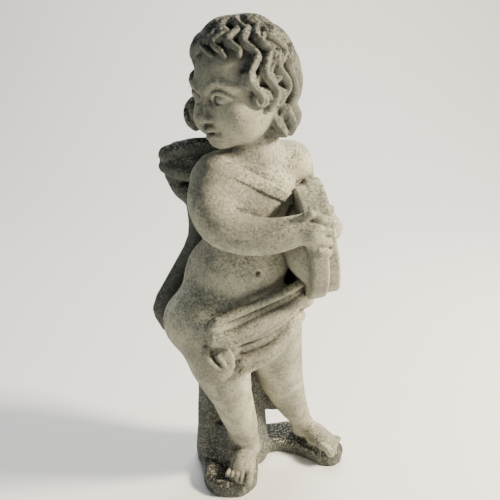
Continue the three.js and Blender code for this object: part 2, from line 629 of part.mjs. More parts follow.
// One vertex is set in each cell for each sheet of surface that passes through it,
// and each edge of the lattice that the surface crosses gives a quad.
function polygonise({ origin, count: [nx, ny, nz], values }) {
  const stride = [1, nx, nx * ny];
  const corner = (c) => (c & 1) * stride[0] + ((c >> 1) & 1) * stride[1] + ((c >> 2) & 1) * stride[2];
  const cellEdges = [];
  for (let axis = 0; axis < 3; axis += 1) {
    for (let c = 0; c < 8; c += 1) {
      if (!((c >> axis) & 1)) {
        cellEdges.push({ axis, low: c, high: c | (1 << axis) });
      }
    }
  }
  const cellSides = [];
  for (let axis = 0; axis < 3; axis += 1) {
    for (const level of [0, 1]) {
      cellSides.push(cellEdges.map((e, i) => i).filter((i) => cellEdges[i].axis !== axis
        && ((cellEdges[i].low >> axis) & 1) === level));
    }
  }
  const positions = [];
  const owner = new Map();
  const key = (cell, edge) => cell * 12 + edge;
  for (let k = 0; k + 1 < nz; k += 1) {
    for (let j = 0; j + 1 < ny; j += 1) {
      for (let i = 0; i + 1 < nx; i += 1) {
        const at = i + nx * (j + ny * k);
        let mask = 0;
        for (let c = 0; c < 8; c += 1) {
          mask |= (values[at + corner(c)] < 0 ? 1 : 0) << c;
        }
        if (mask === 0 || mask === 255) {
          continue;
        }
        const crossed = cellEdges.map(({ low, high }) => ((mask >> low) & 1) !== ((mask >> high) & 1));
        const leader = cellEdges.map((e, n) => n);
        const find = (n) => (leader[n] === n ? n : find(leader[n]));
        for (const edges of cellSides) {
          const pair = edges.filter((n) => crossed[n]);
          if (pair.length === 2) {
            leader[find(pair[0])] = find(pair[1]);
          }
        }
        const sheets = new Map();
        cellEdges.forEach(({ axis, low }, n) => {
          if (crossed[n]) {
            const root = find(n);
            const a = values[at + corner(low)];
            const b = values[at + corner(low) + stride[axis]];
            const p = [i + (low & 1), j + ((low >> 1) & 1), k + ((low >> 2) & 1)];
            p[axis] += a / (a - b);
            const sheet = sheets.get(root) ?? { sum: [0, 0, 0], number: 0, edges: [] };
            sheet.sum = sheet.sum.map((v, m) => v + p[m]);
            sheet.number += 1;
            sheet.edges.push(n);
            sheets.set(root, sheet);
          }
        });
        for (const { sum, number, edges } of sheets.values()) {
          const vertex = positions.length / 3;
          const z = origin.z + sum[2] / number * cellSize;
          positions.push(origin.x + sum[0] / number * cellSize, origin.y + sum[1] / number * cellSize,
            z < cellSize / 2 ? 0 : z);
          for (const n of edges) {
            owner.set(key(at, n), vertex);
          }
        }
      }
    }
  }
  const faces = [];
  const edgeNumber = (axis, low) => cellEdges.findIndex((e) => e.axis === axis && e.low === low);
  for (let k = 1; k + 1 < nz; k += 1) {
    for (let j = 1; j + 1 < ny; j += 1) {
      for (let i = 1; i + 1 < nx; i += 1) {
        const at = i + nx * (j + ny * k);
        for (let axis = 0; axis < 3; axis += 1) {
          const inside = values[at] < 0;
          if (inside !== (values[at + stride[axis]] < 0)) {
            const b = (axis + 1) % 3;
            const c = (axis + 2) % 3;
            const ring = [[0, 0], [1, 0], [1, 1], [0, 1]].map(([s, t]) => owner.get(
              key(at - s * stride[b] - t * stride[c], edgeNumber(axis, (s << b) | (t << c)))));
            const [p, q, r, s] = inside ? ring.reverse() : ring;
            faces.push([p, r, q], [p, s, r]);
          }
        }
      }
    }
  }
  return { positions, faces };
}

// The mesh is thinned by drawing edges together, least harm first, until it keeps faceBudget faces.
// A long edge costs a little more, a new spot stays near its edge, and no face may turn far round.
const lengthCost = 1e-3;
const flatness = 1e-3;
const strayLimit = 1.5;
const leastCosine = 0.25;
function thin({ positions, faces }) {
  const p = Float64Array.from(positions);
  const number = p.length / 3;
  const quadrics = Array.from({ length: number }, () => new Float64Array(10));
  const around = Array.from({ length: number }, () => new Set());
  const alive = faces.map(() => true);
  const normalOf = (a, b, c) => {
    const ux = p[b * 3] - p[a * 3];
    const uy = p[b * 3 + 1] - p[a * 3 + 1];
    const uz = p[b * 3 + 2] - p[a * 3 + 2];
    const vx = p[c * 3] - p[a * 3];
    const vy = p[c * 3 + 1] - p[a * 3 + 1];
    const vz = p[c * 3 + 2] - p[a * 3 + 2];
    return [uy * vz - uz * vy, uz * vx - ux * vz, ux * vy - uy * vx];
  };
  faces.forEach((face, f) => {
    const n = normalOf(...face);
    const area = Math.hypot(...n) / 2;
    if (area > 0) {
      const [a, b, c] = n.map((v) => v / area / 2);
      const d = -(a * p[face[0] * 3] + b * p[face[0] * 3 + 1] + c * p[face[0] * 3 + 2]);
      const q = [a * a, a * b, a * c, a * d, b * b, b * c, b * d, c * c, c * d, d * d];
      for (const v of face) {
        q.forEach((value, i) => { quadrics[v][i] += value * area; });
      }
    }
    face.forEach((v) => around[v].add(f));
  });
  const harm = (q, x, y, z) => q[0] * x * x + 2 * q[1] * x * y + 2 * q[2] * x * z + 2 * q[3] * x
    + q[4] * y * y + 2 * q[5] * y * z + 2 * q[6] * y + q[7] * z * z + 2 * q[8] * z + q[9];
  const spotFor = (a, b) => {
    const q = quadrics[a].map((v, i) => v + quadrics[b][i]);
    const ends = [a, b].map((v) => [p[v * 3], p[v * 3 + 1], p[v * 3 + 2]]);
    const choices = [ends[0], ends[1], ends[0].map((v, k) => (v + ends[1][k]) / 2)];
    const det = q[0] * (q[4] * q[7] - q[5] * q[5]) - q[1] * (q[1] * q[7] - q[5] * q[2])
      + q[2] * (q[1] * q[5] - q[4] * q[2]);
    if (Math.abs(det) > flatness) {
      const bestSpot = new THREE.Vector3(-q[3], -q[6], -q[8]).applyMatrix3(
        new THREE.Matrix3(q[0], q[1], q[2], q[1], q[4], q[5], q[2], q[5], q[7]).invert());
      choices.unshift(bestSpot.toArray());
    }
    const length = Math.hypot(...ends[0].map((v, k) => v - ends[1][k]));
    const floor = ends[0][2] === 0 && ends[1][2] === 0;
    const middle = choices.at(-1);
    const kept = choices.filter((c) => Math.hypot(...c.map((v, k) => v - middle[k])) <= length * strayLimit);
    const best = kept.map((c) => ({ spot: floor ? [c[0], c[1], 0] : c, cost: harm(q, ...c) }))
      .reduce((s, t) => (t.cost < s.cost ? t : s));
    const toFloor = (ends[0][2] === 0) !== (ends[1][2] === 0);
    if (toFloor) {
      const low = ends[0][2] === 0 ? ends[0] : ends[1];
      return { spot: low, cost: harm(q, ...low) + length * length * lengthCost, q };
    }
    return { ...best, cost: best.cost + length * length * lengthCost, q };
  };
  const heap = [];
  const less = (i, j) => heap[i].cost < heap[j].cost;
  const swap = (i, j) => { [heap[i], heap[j]] = [heap[j], heap[i]]; };
  const push = (item) => {
    heap.push(item);
    let i = heap.length - 1;
    while (i > 0 && less(i, (i - 1) >> 1)) {
      swap(i, (i - 1) >> 1);
      i = (i - 1) >> 1;
    }
  };
  const pop = () => {
    const top = heap[0];
    const last = heap.pop();
    if (heap.length) {
      heap[0] = last;
      let i = 0;
      for (;;) {
        const l = 2 * i + 1;
        const r = l + 1;
        let m = i;
        if (l < heap.length && less(l, m)) {
          m = l;
        }
        if (r < heap.length && less(r, m)) {
          m = r;
        }
        if (m === i) {
          break;
        }
        swap(i, m);
        i = m;
      }
    }
    return top;
  };
  const version = new Int32Array(number);
  const neighbours = (v) => {
    const set = new Set();
    for (const f of around[v]) {
      faces[f].forEach((w) => set.add(w));
    }
    set.delete(v);
    return set;
  };
  const offer = (a, b) => push({ a, b, va: version[a], vb: version[b], ...spotFor(a, b) });
  faces.forEach(([a, b, c]) => {
    for (const [s, t] of [[a, b], [b, c], [c, a]]) {
      if (s < t) {
        offer(s, t);
      }
    }
  });
  const flips = (v, other, spot) => {
    for (const f of around[v]) {
      if (!faces[f].includes(other)) {
        const before = normalOf(...faces[f]);
        const kept = [p[v * 3], p[v * 3 + 1], p[v * 3 + 2]];
        p.set(spot, v * 3);
        const after = normalOf(...faces[f]);
        p.set(kept, v * 3);
        const dot = before[0] * after[0] + before[1] * after[1] + before[2] * after[2];
        if (dot < leastCosine * Math.hypot(...before) * Math.hypot(...after)) {
          return true;
        }
      }
    }
    return false;
  };
  let left = faces.length;
  while (left > faceBudget && heap.length) {
    const { a, b, va, vb, spot, q } = pop();
    if (version[a] !== va || version[b] !== vb || !around[a].size || !around[b].size) {
      continue;
    }
    const na = neighbours(a);
    const nb = neighbours(b);
    const shared = [...na].filter((v) => nb.has(v));
    if (shared.length !== 2 || flips(a, b, spot) || flips(b, a, spot)) {
      continue;
    }
    for (const f of [...around[b]]) {
      if (faces[f].includes(a)) {
        faces[f].forEach((v) => around[v].delete(f));
        alive[f] = false;
        left -= 1;
      } else {
        faces[f][faces[f].indexOf(b)] = a;
        around[a].add(f);
      }
    }
    around[b].clear();
    p.set(spot, a * 3);
    quadrics[a] = q;
    version[a] += 1;
    version[b] += 1;
    for (const v of neighbours(a)) {
      offer(Math.min(a, v), Math.max(a, v));
    }
  }
  return { positions: p, faces: faces.filter((f, i) => alive[i]) };
}

function solid() {
  const bounds = new THREE.Box3();
  for (const masses of Object.values(layers)) {
    for (const { box } of masses) {
      bounds.union(box);
    }
  }
  const field = sample(bounds.expandByScalar(2 * cellSize));
  settle(field);
  const { positions, faces } = thin(polygonise(field));
  const geometry = new THREE.BufferGeometry();
  const used = new Map();
  const kept = [];
  const index = faces.flat().map((v) => {
    if (!used.has(v)) {
      used.set(v, kept.length / 3);
      kept.push(positions[v * 3], positions[v * 3 + 1], positions[v * 3 + 2]);
    }
    return used.get(v);
  });
  geometry.setAttribute('position', new THREE.Float32BufferAttribute(kept, 3));
  geometry.setIndex(index);
  geometry.computeVertexNormals();
  return geometry;
}

const weatheredStone = new THREE.MeshStandardMaterial({ color: 0xa49c82, roughness: 0.95, metalness: 0 });
const statue = new THREE.Mesh(solid(), weatheredStone);
statue.name = 'putto_statue';
const model = new THREE.Group();
model.add(statue);

export default model;
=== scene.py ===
# %% [markdown]
# # A weathered stone putto
# The real object is one block of cast stone: a plump child with a pair of cymbals, a cloak, a tree
# stump and a rock base. Nothing on it is a separate piece, so here it is one closed mesh too.
# The construction model is loaded first, and everything below is fitted to its box.

import copy
import math

import bpy
import numpy as np
import openvdb
from mathutils import Matrix, Vector


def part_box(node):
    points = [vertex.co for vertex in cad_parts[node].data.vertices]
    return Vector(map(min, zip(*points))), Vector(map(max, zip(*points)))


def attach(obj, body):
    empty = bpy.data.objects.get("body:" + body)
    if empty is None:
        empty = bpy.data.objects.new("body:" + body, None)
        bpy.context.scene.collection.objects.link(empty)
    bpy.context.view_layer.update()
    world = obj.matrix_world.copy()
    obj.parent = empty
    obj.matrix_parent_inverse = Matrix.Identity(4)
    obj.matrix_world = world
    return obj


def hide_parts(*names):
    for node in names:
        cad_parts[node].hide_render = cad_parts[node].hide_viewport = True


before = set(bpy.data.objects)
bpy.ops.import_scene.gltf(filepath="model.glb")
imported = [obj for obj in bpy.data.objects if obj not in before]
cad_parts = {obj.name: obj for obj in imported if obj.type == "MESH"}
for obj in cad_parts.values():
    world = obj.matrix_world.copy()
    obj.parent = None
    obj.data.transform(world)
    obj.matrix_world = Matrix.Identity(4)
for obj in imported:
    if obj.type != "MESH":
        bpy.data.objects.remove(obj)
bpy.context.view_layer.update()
NODE = "putto_statue"
node_low, node_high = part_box(NODE)
print("construction box in metres:", tuple(node_low), tuple(node_high))

# %% [markdown]
# ## Sizes
# A carver works a figure in shares of its own height. Every place below is in thousandths of the
# figure's height, from the sole up, and becomes millimetres through one factor.

# %% Driving sizes, in millimetres
BASE_THICKNESS = 30.0
# How high the hair reaches above the sole, in shares, which ties the figure to the frame's box.
HAIR_TOP_SHARE = 994.8
FIGURE_HEIGHT = (node_high.z * 1000 - BASE_THICKNESS) / HAIR_TOP_SHARE * 1000
SHARE = FIGURE_HEIGHT / 1000
BASE_MARGIN = 8.0
STRAP_WIDTH = 18.0
STRAP_RELIEF = 3.0
CYMBAL_DIAMETER = 204.0
CYMBAL_THICKNESS = 30.0
# Grid steps across and up the body, the finer step up the head, where the head starts, and the
# triangles that are kept.
VOXEL = 2.0
VOXEL_TALL = 2.5
VOXEL_HEAD = 1.5
HEAD_START = 745.0
TRIANGLES = 194000
print("figure height in millimetres:", round(FIGURE_HEIGHT, 1))


def place(point):
    """A point in shares of the figure's height becomes millimetres."""
    return np.array([point[0] * SHARE, point[1] * SHARE, BASE_THICKNESS + point[2] * SHARE])


def unit(v):
    """A direction with a length of one."""
    v = np.asarray(v, float)
    return v / np.linalg.norm(v)


def turn_about(v, axis, degrees):
    """Turns a direction about an axis."""
    return np.array(Matrix.Rotation(math.radians(degrees), 3, Vector(axis)) @ Vector(v))


def facing(turn, nod=0.0, lean=0.0):
    """Sideways, forward and upward directions of a mass that is turned, bowed and tilted."""
    t, n = math.radians(turn), math.radians(nod)
    front = np.array([-math.sin(t) * math.cos(n), -math.cos(t) * math.cos(n), -math.sin(n)])
    side = turn_about((math.cos(t), -math.sin(t), 0.0), front, lean)
    return np.array([side, front, np.cross(front, side)])


# %% [markdown]
# ## Modelling with distances
# A figure like this could be sculpted by hand or box-modelled. Here each mass of flesh, lock of hair
# and fold of cloth is a formula that gives the distance to its surface. Distances are joined with a
# small fillet, which is just what a modeller's thumb does where two lumps of clay meet, and every
# mass keeps its name and its size.

# %% Masses: an egg, a limb along a curve, and a round plate
# FELT is how far from its own surface a mass can still change the skin.
FAR = 1e4
LIMB_JOIN = 14 * SHARE
FELT = LIMB_JOIN + 2 * VOXEL


def join(a, b, fillet):
    """Joins two solids and rounds the crease between them over the fillet's width."""
    if fillet <= 0:
        return np.minimum(a, b)
    reach = np.maximum(fillet - np.abs(a - b), 0.0)
    return np.minimum(a, b) - reach * reach / (4 * fillet)


def cut(a, b, fillet):
    """Cuts the second solid out of the first and rounds the edge between them."""
    return -join(-a, b, fillet)


class Egg:
    """An ellipsoid. Radii go sideways, forwards and up."""

    def __init__(self, center, radii, axes, fillet):
        self.center = place(center)
        self.radii = np.array(radii, np.float32) * SHARE
        self.axes = axes.astype(np.float32)
        self.fillet = fillet * SHARE
        self.reach = float(self.radii.max())

    def near(self, center, radius):
        """Nothing, if a ball is too far off to feel this mass."""
        gap = np.linalg.norm(center - self.center) - self.reach
        return self if gap < radius + max(self.fillet, FELT) else None

    def distance(self, points):
        q = (points - self.center.astype(np.float32)) @ self.axes.T / self.radii
        size = np.sqrt((q * q).sum(1))
        q = q / self.radii
        slope = np.sqrt((q * q).sum(1))
        return size * (size - 1) / np.maximum(slope, 1e-9)


def smooth_path(points, count):
    """A smooth curve through points, cut into count equal steps of its parameter."""
    p = np.asarray(points, float)
    if len(p) == 2:
        return p[0] + (p[1] - p[0]) * np.linspace(0, 1, count + 1)[:, None]
    ends = np.vstack([2 * p[0] - p[1], p, 2 * p[-1] - p[-2]])
    out = []
    for i in range(count + 1):
        t = i / count * (len(p) - 1)
        k = min(int(t), len(p) - 2)
        w = t - k
        a, b, c, d = ends[k:k + 4]
        s0, s1, s2 = (max(np.linalg.norm(v) ** 0.5, 1e-4) for v in (b - a, c - b, d - c))
        m1 = ((b - a) / s0 - (c - a) / (s0 + s1) + (c - b) / s1) * s1
        m2 = ((c - b) / s1 - (d - b) / (s1 + s2) + (d - c) / s2) * s1
        out.append(b + m1 * w + (-3 * b + 3 * c - 2 * m1 - m2) * w * w + (2 * b - 2 * c + m1 + m2) * w ** 3)
    return np.array(out)


class Limb:
    """A round body along a smooth curve. It may be flattened, or grooved like a lock of hair."""

    def __init__(self, knots, fillet, steps=4, flat_way=None, thin=1.0, strands=0, groove=0.0,
                 out_from=None):
        knots = np.asarray(knots, float)
        count = (len(knots) - 1) * steps if len(knots) > 2 else 1
        path = smooth_path([place(k[:3]) for k in knots], count)
        along = np.linspace(0, len(knots) - 1, count + 1)
        radius = np.interp(along, np.arange(len(knots)), knots[:, 3]) * SHARE
        self.start = path[:-1].astype(np.float32)
        self.way = (path[1:] - path[:-1]).astype(np.float32)
        self.square = np.maximum((self.way ** 2).sum(1), 1e-6)
        self.r0 = radius[:-1].astype(np.float32)
        self.dr = (radius[1:] - radius[:-1]).astype(np.float32)
        self.fillet = fillet * SHARE
        self.flat = None if flat_way is None else unit(flat_way).astype(np.float32)
        self.thin = thin
        self.strands = strands
        self.groove = groove
        self.out_from = out_from

    def near(self, center, radius):
        """The stretch of this limb that a ball can feel, or nothing."""
        d = center - self.start
        t = np.clip((d * self.way).sum(1) / self.square, 0.0, 1.0)
        gap = np.linalg.norm(d - t[:, None] * self.way, axis=1) - self.r0 - self.dr * t
        kept = gap < radius + max(self.fillet, FELT)
        if not kept.any():
            return None
        part = copy.copy(self)
        part.start, part.way, part.square = self.start[kept], self.way[kept], self.square[kept]
        part.r0, part.dr = self.r0[kept], self.dr[kept]
        return part

    def distance(self, points):
        best = np.full(len(points), FAR, np.float32)
        for a, way, square, r0, dr in zip(self.start, self.way, self.square, self.r0, self.dr):
            d = points - a
            t = np.clip(d @ way / square, 0.0, 1.0)
            e = d - t[:, None] * way
            if self.flat is not None:
                e = e + (e @ self.flat * (1 / self.thin - 1))[:, None] * self.flat
            size = np.sqrt((e * e).sum(1)) - r0 - dr * t
            if self.strands:
                across = unit(np.cross(way, a - self.out_from)).astype(np.float32)
                size = size + self.groove * (0.5 - 0.5 * np.cos(e @ across / r0 * math.pi * self.strands))
            best = np.minimum(best, size)
        # Stretched space makes a flat body's distance too long, so it is shortened.
        return best * (0.4 + 0.6 * self.thin) if self.flat is not None else best


class Plate:
    """A round plate with softened edges. The softening is a share of half its thickness."""

    softness = 0.4

    def __init__(self, center, radius, half_thickness, axis, fillet):
        self.center = place(center)
        self.radius = radius
        self.half = half_thickness
        self.axis = axis.astype(np.float32)
        self.fillet = fillet * SHARE
        self.reach = math.hypot(radius, half_thickness)

    near = Egg.near

    def distance(self, points):
        soft = self.half * self.softness
        d = points - self.center.astype(np.float32)
        along = d @ self.axis
        out = np.sqrt(np.maximum((d * d).sum(1) - along * along, 0.0)) - self.radius + soft
        over = np.abs(along) - self.half + soft
        corner = np.hypot(np.maximum(out, 0.0), np.maximum(over, 0.0))
        return corner + np.minimum(np.maximum(out, over), 0.0) - soft


def folds(rows, count, radius, fillet, swell=(1.0, 1.0), trim=None):
    """Folds of cloth laid side by side between two edges. Each row is a curve across the cloth."""
    made = []
    columns = [smooth_path(row, count - 1) for row in rows]
    for i in range(count):
        r = radius * swell[i % len(swell)]
        knots = [[*column[i], r] for column in columns]
        made.append(Limb(trim(knots, i) if trim else knots, fillet, steps=3))
    return made


# %% [markdown]
# ## The body
# The weight is on the right leg, so the right hip swings out, the pelvis tips and the chest turns the
# other way. A putto has an infant's proportions: four heads high, a round belly and soft limbs.

# %% Torso, legs and arms
chest_way, belly_way, hip_way = facing(-30), facing(-25), facing(-24)
ribs = Egg([2, -24, 642], [92, 74, 104], chest_way, 0)
belly = Egg([-14, -36, 522], [97, 82, 92], belly_way, 44)
pelvis = Egg([-30, -34, 418], [112, 80, 78], hip_way, 30)
shoulders = Limb([[-58, -58, 700, 48], [8, -20, 728, 44], [72, 12, 712, 46]], 26)
neck = Limb([[12, -24, 730, 50], [3, -36, 800, 44]], 22)
chest_pads = [
    Egg([-22, -84, 668], [40, 24, 34], chest_way, 26),
    Egg([52, -56, 672], [38, 24, 34], chest_way, 26),
]
hips = [
    Egg([-112, -14, 378], [76, 74, 74], hip_way, 26),
    Egg([-12, 36, 384], [70, 70, 72], hip_way, 26),
    Egg([-90, -18, 462], [49, 56, 90], hip_way, 30),
]
torso = [ribs, belly, pelvis, shoulders, neck, *chest_pads, *hips]

CREASE_LENGTH = 17
CREASE_BEARINGS = (-2.6, -1.1, -0.2, 1.0, 2.3)


def crease(bearing):
    """A short cut that leaves the navel in one direction."""
    side, up = CREASE_LENGTH * math.sin(bearing), CREASE_LENGTH * math.cos(bearing)
    return Limb([[19, -119, 524, 5], [19 + side, -122 + 6 * math.sin(bearing), 524 + up, 2.4]], 2)


navel = [Egg([19, -118, 524], [8, 14, 8], belly_way, 3), *[crease(b) for b in CREASE_BEARINGS]]

right_leg = Limb([[-84, -52, 400, 78], [-66, -60, 310, 66], [-42, -56, 222, 45], [-30, -44, 170, 41],
                  [-17, -20, 108, 35], [-8, 0, 58, 26], [-6, 10, 26, 27]], 26, steps=7)
left_leg = Limb([[42, -14, 392, 70], [54, 0, 310, 62], [70, 32, 222, 53], [86, 54, 160, 45],
                 [107, 76, 98, 35], [126, 92, 54, 26], [130, 98, 28, 27]], 26, steps=7)
right_arm = Limb([[-66, -66, 694, 49], [-72, -92, 658, 46], [-54, -118, 624, 41], [-12, -128, 609, 38],
                  [42, -134, 608, 34], [92, -140, 622, 28]], 12, steps=6)
left_arm = Limb([[80, 16, 712, 47], [94, 50, 664, 43], [104, 76, 622, 40], [130, 54, 602, 34],
                 [156, 10, 592, 27]], 12, steps=6)
legs, arms = [right_leg, left_leg], [right_arm, left_arm]
print("body masses:", len(torso) + len(legs) + len(arms))


# %% [markdown]
# A foot is a wedge of limbs from the heel with five toes set side by side by a loop, each a little
# shorter than the last. The toes keep a hair's width between them, as carved toes do.

# %% Feet
TOE_COUNT = 5


def foot(heel, toe_way, length, inner):
    """A foot from its heel. Its toes point some degrees aside, with the big one on the inner side."""
    angle = math.radians(toe_way)
    way = np.array([math.sin(angle), -math.cos(angle)])
    across = np.array([-way[1], way[0]])

    def spot(along, aside, z, r):
        x, y = np.array(heel[:2]) + way * along + across * aside
        return [x, y, z, r]

    masses = [
        Limb([spot(0, 0, 20, 24), spot(length * 0.4, 0, 22, 25), spot(length * 0.68, 0, 12, 22)], 16),
        Limb([spot(length * 0.45, -10, 10, 19), spot(length * 0.7, -12, 9, 15)], 12),
        Limb([spot(length * 0.45, 10, 10, 19), spot(length * 0.7, 12, 9, 15)], 12),
    ]
    for toe in range(TOE_COUNT):
        big = toe == 0
        aside = inner * (24 if big else 8 - 11.5 * (toe - 1))
        girth = 9.6 if big else 6.6 - toe * 0.2
        reach = length * (0.97 if big else 1.0 - toe * 0.045)
        root, knuckle = spot(length * 0.7, aside * 0.9, 13, girth), spot(length * 0.87, aside, 15, girth)
        masses.append(Limb([root, knuckle, spot(reach, aside, 8, girth * 1.08)], 1.2))
    return masses


right_foot = foot([-6, 24], toe_way=-11, length=116, inner=1)
left_foot = foot([132, 100], toe_way=48, length=110, inner=-1)
feet = right_foot + left_foot
print("masses of the feet:", len(feet))


# %% [markdown]
# ## Cymbals and hands
# The two cymbals are thick round plates held on edge. The right hand comes over their near rims, and
# the left hand, mostly hidden, holds the outer one by its dome.

# %% Cymbals and hands
def cymbal_axis(turn, tip):
    """The way a cymbal's flat side looks, turned about the upright and then tipped, in degrees."""
    axis = (-math.cos(math.radians(turn)), -math.sin(math.radians(turn)), 0.0)
    return unit(turn_about(axis, (0, 1, 0), tip))


def dome_way(axis):
    """Directions of a dome whose first radius lies along the cymbal's axis."""
    up = unit(np.array([0, 0, 1]) - axis * axis[2])
    return np.array([axis, np.cross(up, axis), up])


near_axis, far_axis = cymbal_axis(turn=8, tip=-8), cymbal_axis(turn=3, tip=-10)
near_cymbal, far_cymbal = np.array([113, -44, 568]), np.array([142, -33, 577])
near_dome, far_dome = [44, 78, 78], [24, 56, 56]
near_rise, far_rise = 8, 6
cymbals = [
    Plate(near_cymbal, CYMBAL_DIAMETER / 2, CYMBAL_THICKNESS / 2, near_axis, 2),
    Egg(near_cymbal + near_axis * near_rise, near_dome, dome_way(near_axis), 18),
    Plate(far_cymbal, CYMBAL_DIAMETER / 2, CYMBAL_THICKNESS / 2, far_axis, 2),
    Egg(far_cymbal + far_axis * far_rise, far_dome, dome_way(far_axis), 14),
]
FINGER_COUNT = 4


def hand(wrist, knuckles, tips, spread, radius, thumb):
    """A palm, four fingers in a row and a thumb."""
    wrist, knuckles, tips, spread = (np.array(v, float) for v in (wrist, knuckles, tips, spread))
    masses = [Limb([[*wrist, 27], [*knuckles, 27]], 12)]
    for finger in range(FINGER_COUNT):
        off = spread * (finger - 1.5) / 1.5
        start, end = knuckles + off, tips + off * 1.05
        middle = (start + end) / 2 + np.array([0, -6, 0])
        masses.append(Limb([[*start, radius], [*middle, radius * 0.98], [*end, radius * 0.9]], 1.4))
    masses.append(Limb(thumb, 3))
    return masses


right_hand = hand([92, -139, 622], [112, -146, 620], [141, -150, 612], [1, 0, -30], 9.6,
                  [[94, -144, 638, 11], [99, -152, 648, 9.5], [110, -154, 655, 8.5]])
left_hand = hand([156, 10, 592], [163, -16, 586], [165, -56, 578], [2, 0, -27], 9.5,
                 [[158, -2, 608, 12], [160, -18, 624, 10], [160, -34, 632, 9]])
hands = right_hand + left_hand
print("masses of the cymbals and hands:", len(cymbals) + len(hands))

# %% [markdown]
# ## The head
# The head looks down over the right shoulder. Its masses are placed from the middle of the skull:
# sideways, forwards and upwards. The face is a child's face drawn from the usual proportions, with
# the eyes below the middle of the head, a short nose and full cheeks.

# %% Face
head_way = facing(turn=49, nod=6, lean=3)
head_center = np.array([-13, -52, 881])


def in_head(s, f, u):
    """A place sideways, forwards and up from the middle of the skull."""
    return head_center + np.array([s, f, u]) @ head_way


def head_egg(at, radii, fillet):
    return Egg(in_head(*at), radii, head_way, fillet)


def head_limb(knots, fillet, **options):
    return Limb([[*in_head(*k[:3]), k[3]] for k in knots], fillet, **options)


def egg_pair(at, radii, fillet):
    """The same egg on both halves of the face."""
    return [head_egg([m * at[0], *at[1:]], radii, fillet) for m in (-1, 1)]


def limb_pair(knots, fillet):
    """The same limb on both halves of the face."""
    return [head_limb([[m * k[0], *k[1:]] for k in knots], fillet) for m in (-1, 1)]


skull = head_egg([0, 0, 0], [80, 94, 96], 0)
jaw = head_egg([0, 28, -56], [69, 60, 54], 30)
cheeks = egg_pair([37, 52, -57], [35, 34, 32], 18)
chin = head_egg([0, 64, -94], [25, 24, 18], 16)
nose = head_limb([[0, 87, -12, 7], [0, 95, -33, 7.5], [0, 104, -50, 10.5]], 8)
nose_wings = limb_pair([[8, 96, -53, 7], [11, 91, -54, 6]], 3)
upper_lip = head_limb([[-18, 84, -76, 3.4], [-8, 93, -71, 5.8], [0, 94, -73, 5], [8, 93, -71, 5.8],
                       [18, 84, -76, 3.4]], 3)
lower_lip = head_limb([[-14, 85, -85, 4], [0, 91, -87, 7.2], [14, 85, -85, 4]], 3)
brows = limb_pair([[11, 91, -3, 6], [32, 87, 7, 7.5], [56, 66, -4, 6]], 7)
bare_head = [skull, jaw, *cheeks]
face = [*bare_head, chin, nose, *nose_wings, upper_lip, lower_lip, *brows]

eye_sockets = egg_pair([32, 94, -20], [22, 17, 14], 5)
inner_corners = egg_pair([15, 94, -22], [6, 8, 8], 5)
mouth_line = head_limb([[-19, 88, -79, 2.2], [-7, 98, -78, 2.9], [0, 100, -80, 2.9], [7, 98, -78, 2.9],
                        [19, 88, -79, 2.2]], 1.5)
mouth_corners = egg_pair([19, 86, -80], [4, 6, 4], 4)
nostrils = egg_pair([7, 105, -62], [3.4, 6, 3.6], 2)
lip_groove = head_egg([0, 100, -66], [2.8, 6, 5], 5)
chin_fold = head_egg([0, 92, -94], [10, 6, 3], 6)
face_cuts = [*eye_sockets, *inner_corners, mouth_line, *mouth_corners, *nostrils, lip_groove, chin_fold]

eyeballs = egg_pair([32, 71, -21], [17, 16.5, 12], 1.2)
upper_lids = limb_pair([[14, 84, -24, 2.6], [23, 90, -12, 4.2], [36, 87, -9, 4.4], [53, 72, -21, 3]], 1.2)
lower_lids = limb_pair([[16, 84, -26, 2.0], [30, 86, -33, 3.2], [50, 72, -24, 2.0]], 1.5)
ears = limb_pair([[80, 6, -8, 6], [88, -2, -16, 6], [88, 2, -32, 6], [80, 12, -46, 8]], 5)
face_features = [*eyeballs, *upper_lids, *lower_lids, *ears]
print("masses of the face:", len(face) + len(face_cuts) + len(face_features))

# %% [markdown]
# ## Hair
# Carved hair is made of a few dozen wavy locks that leave the crown, each with grooves cut along it,
# and of curls that wind up at their ends. Loops place them on an imaginary scalp: around is the
# compass direction from the face, and down is the angle from the crown.

# %% Locks and curls
SCALP = np.array([84.0, 98.0, 98.0])
SKULL_MIDDLE = place(head_center)
LOCK_KNOTS, LOCK_TURNS, LOCK_TAPER = 8, 2.2, 0.3
CURL_KNOTS, CURL_TURNS = 9, 2.4
TUFT_KNOTS = 5


def on_scalp(around, down, lift):
    """A place on the scalp, or lifted off it."""
    a, d = math.radians(around), math.radians(down)
    size = SCALP + lift
    return [math.sin(d) * math.sin(a) * size[0], math.sin(d) * math.cos(a) * size[1], math.cos(d) * size[2]]


def hair_limb(knots, fillet, strands, groove):
    """A lock with grooves along its outer side."""
    return head_limb(knots, fillet, steps=3, strands=strands, groove=groove, out_from=SKULL_MIDDLE)


def lock(around, start, end, radius, wave):
    """A wavy lock that runs down the scalp and thins towards its end."""
    knots = []
    for t in np.linspace(0, 1, LOCK_KNOTS):
        sway = wave * math.sin(t * LOCK_TURNS * math.pi + around * 0.03)
        lift = 3 + 6 * math.sin(t * math.pi)
        at = on_scalp(around + sway, start + (end - start) * t, lift)
        knots.append([*at, radius * (1 - LOCK_TAPER * t)])
    return hair_limb(knots, 1.2, 1.5, 2.2)


def curl(around, down, size, radius, winding):
    """A lock's end wound up round one place on the scalp, one way or the other."""
    knots = []
    for t in np.linspace(0, 1, CURL_KNOTS):
        angle = winding * t * math.pi * CURL_TURNS
        out = size * (1 - 0.75 * t)
        at = on_scalp(around + math.cos(angle) * out, down + math.sin(angle) * out, 4 + 4 * t)
        knots.append([*at, radius])
    return hair_limb(knots, 2, 2.0, 1.6)


def from_front(around):
    """The angle from the face, whichever way round."""
    return abs((around + 180) % 360 - 180)


def hairline(around):
    """How far down the hair grows: high over the forehead, low behind the ears."""
    back = np.interp(from_front(around), (38, 70), (0, 1))
    return 57 + 19 * back


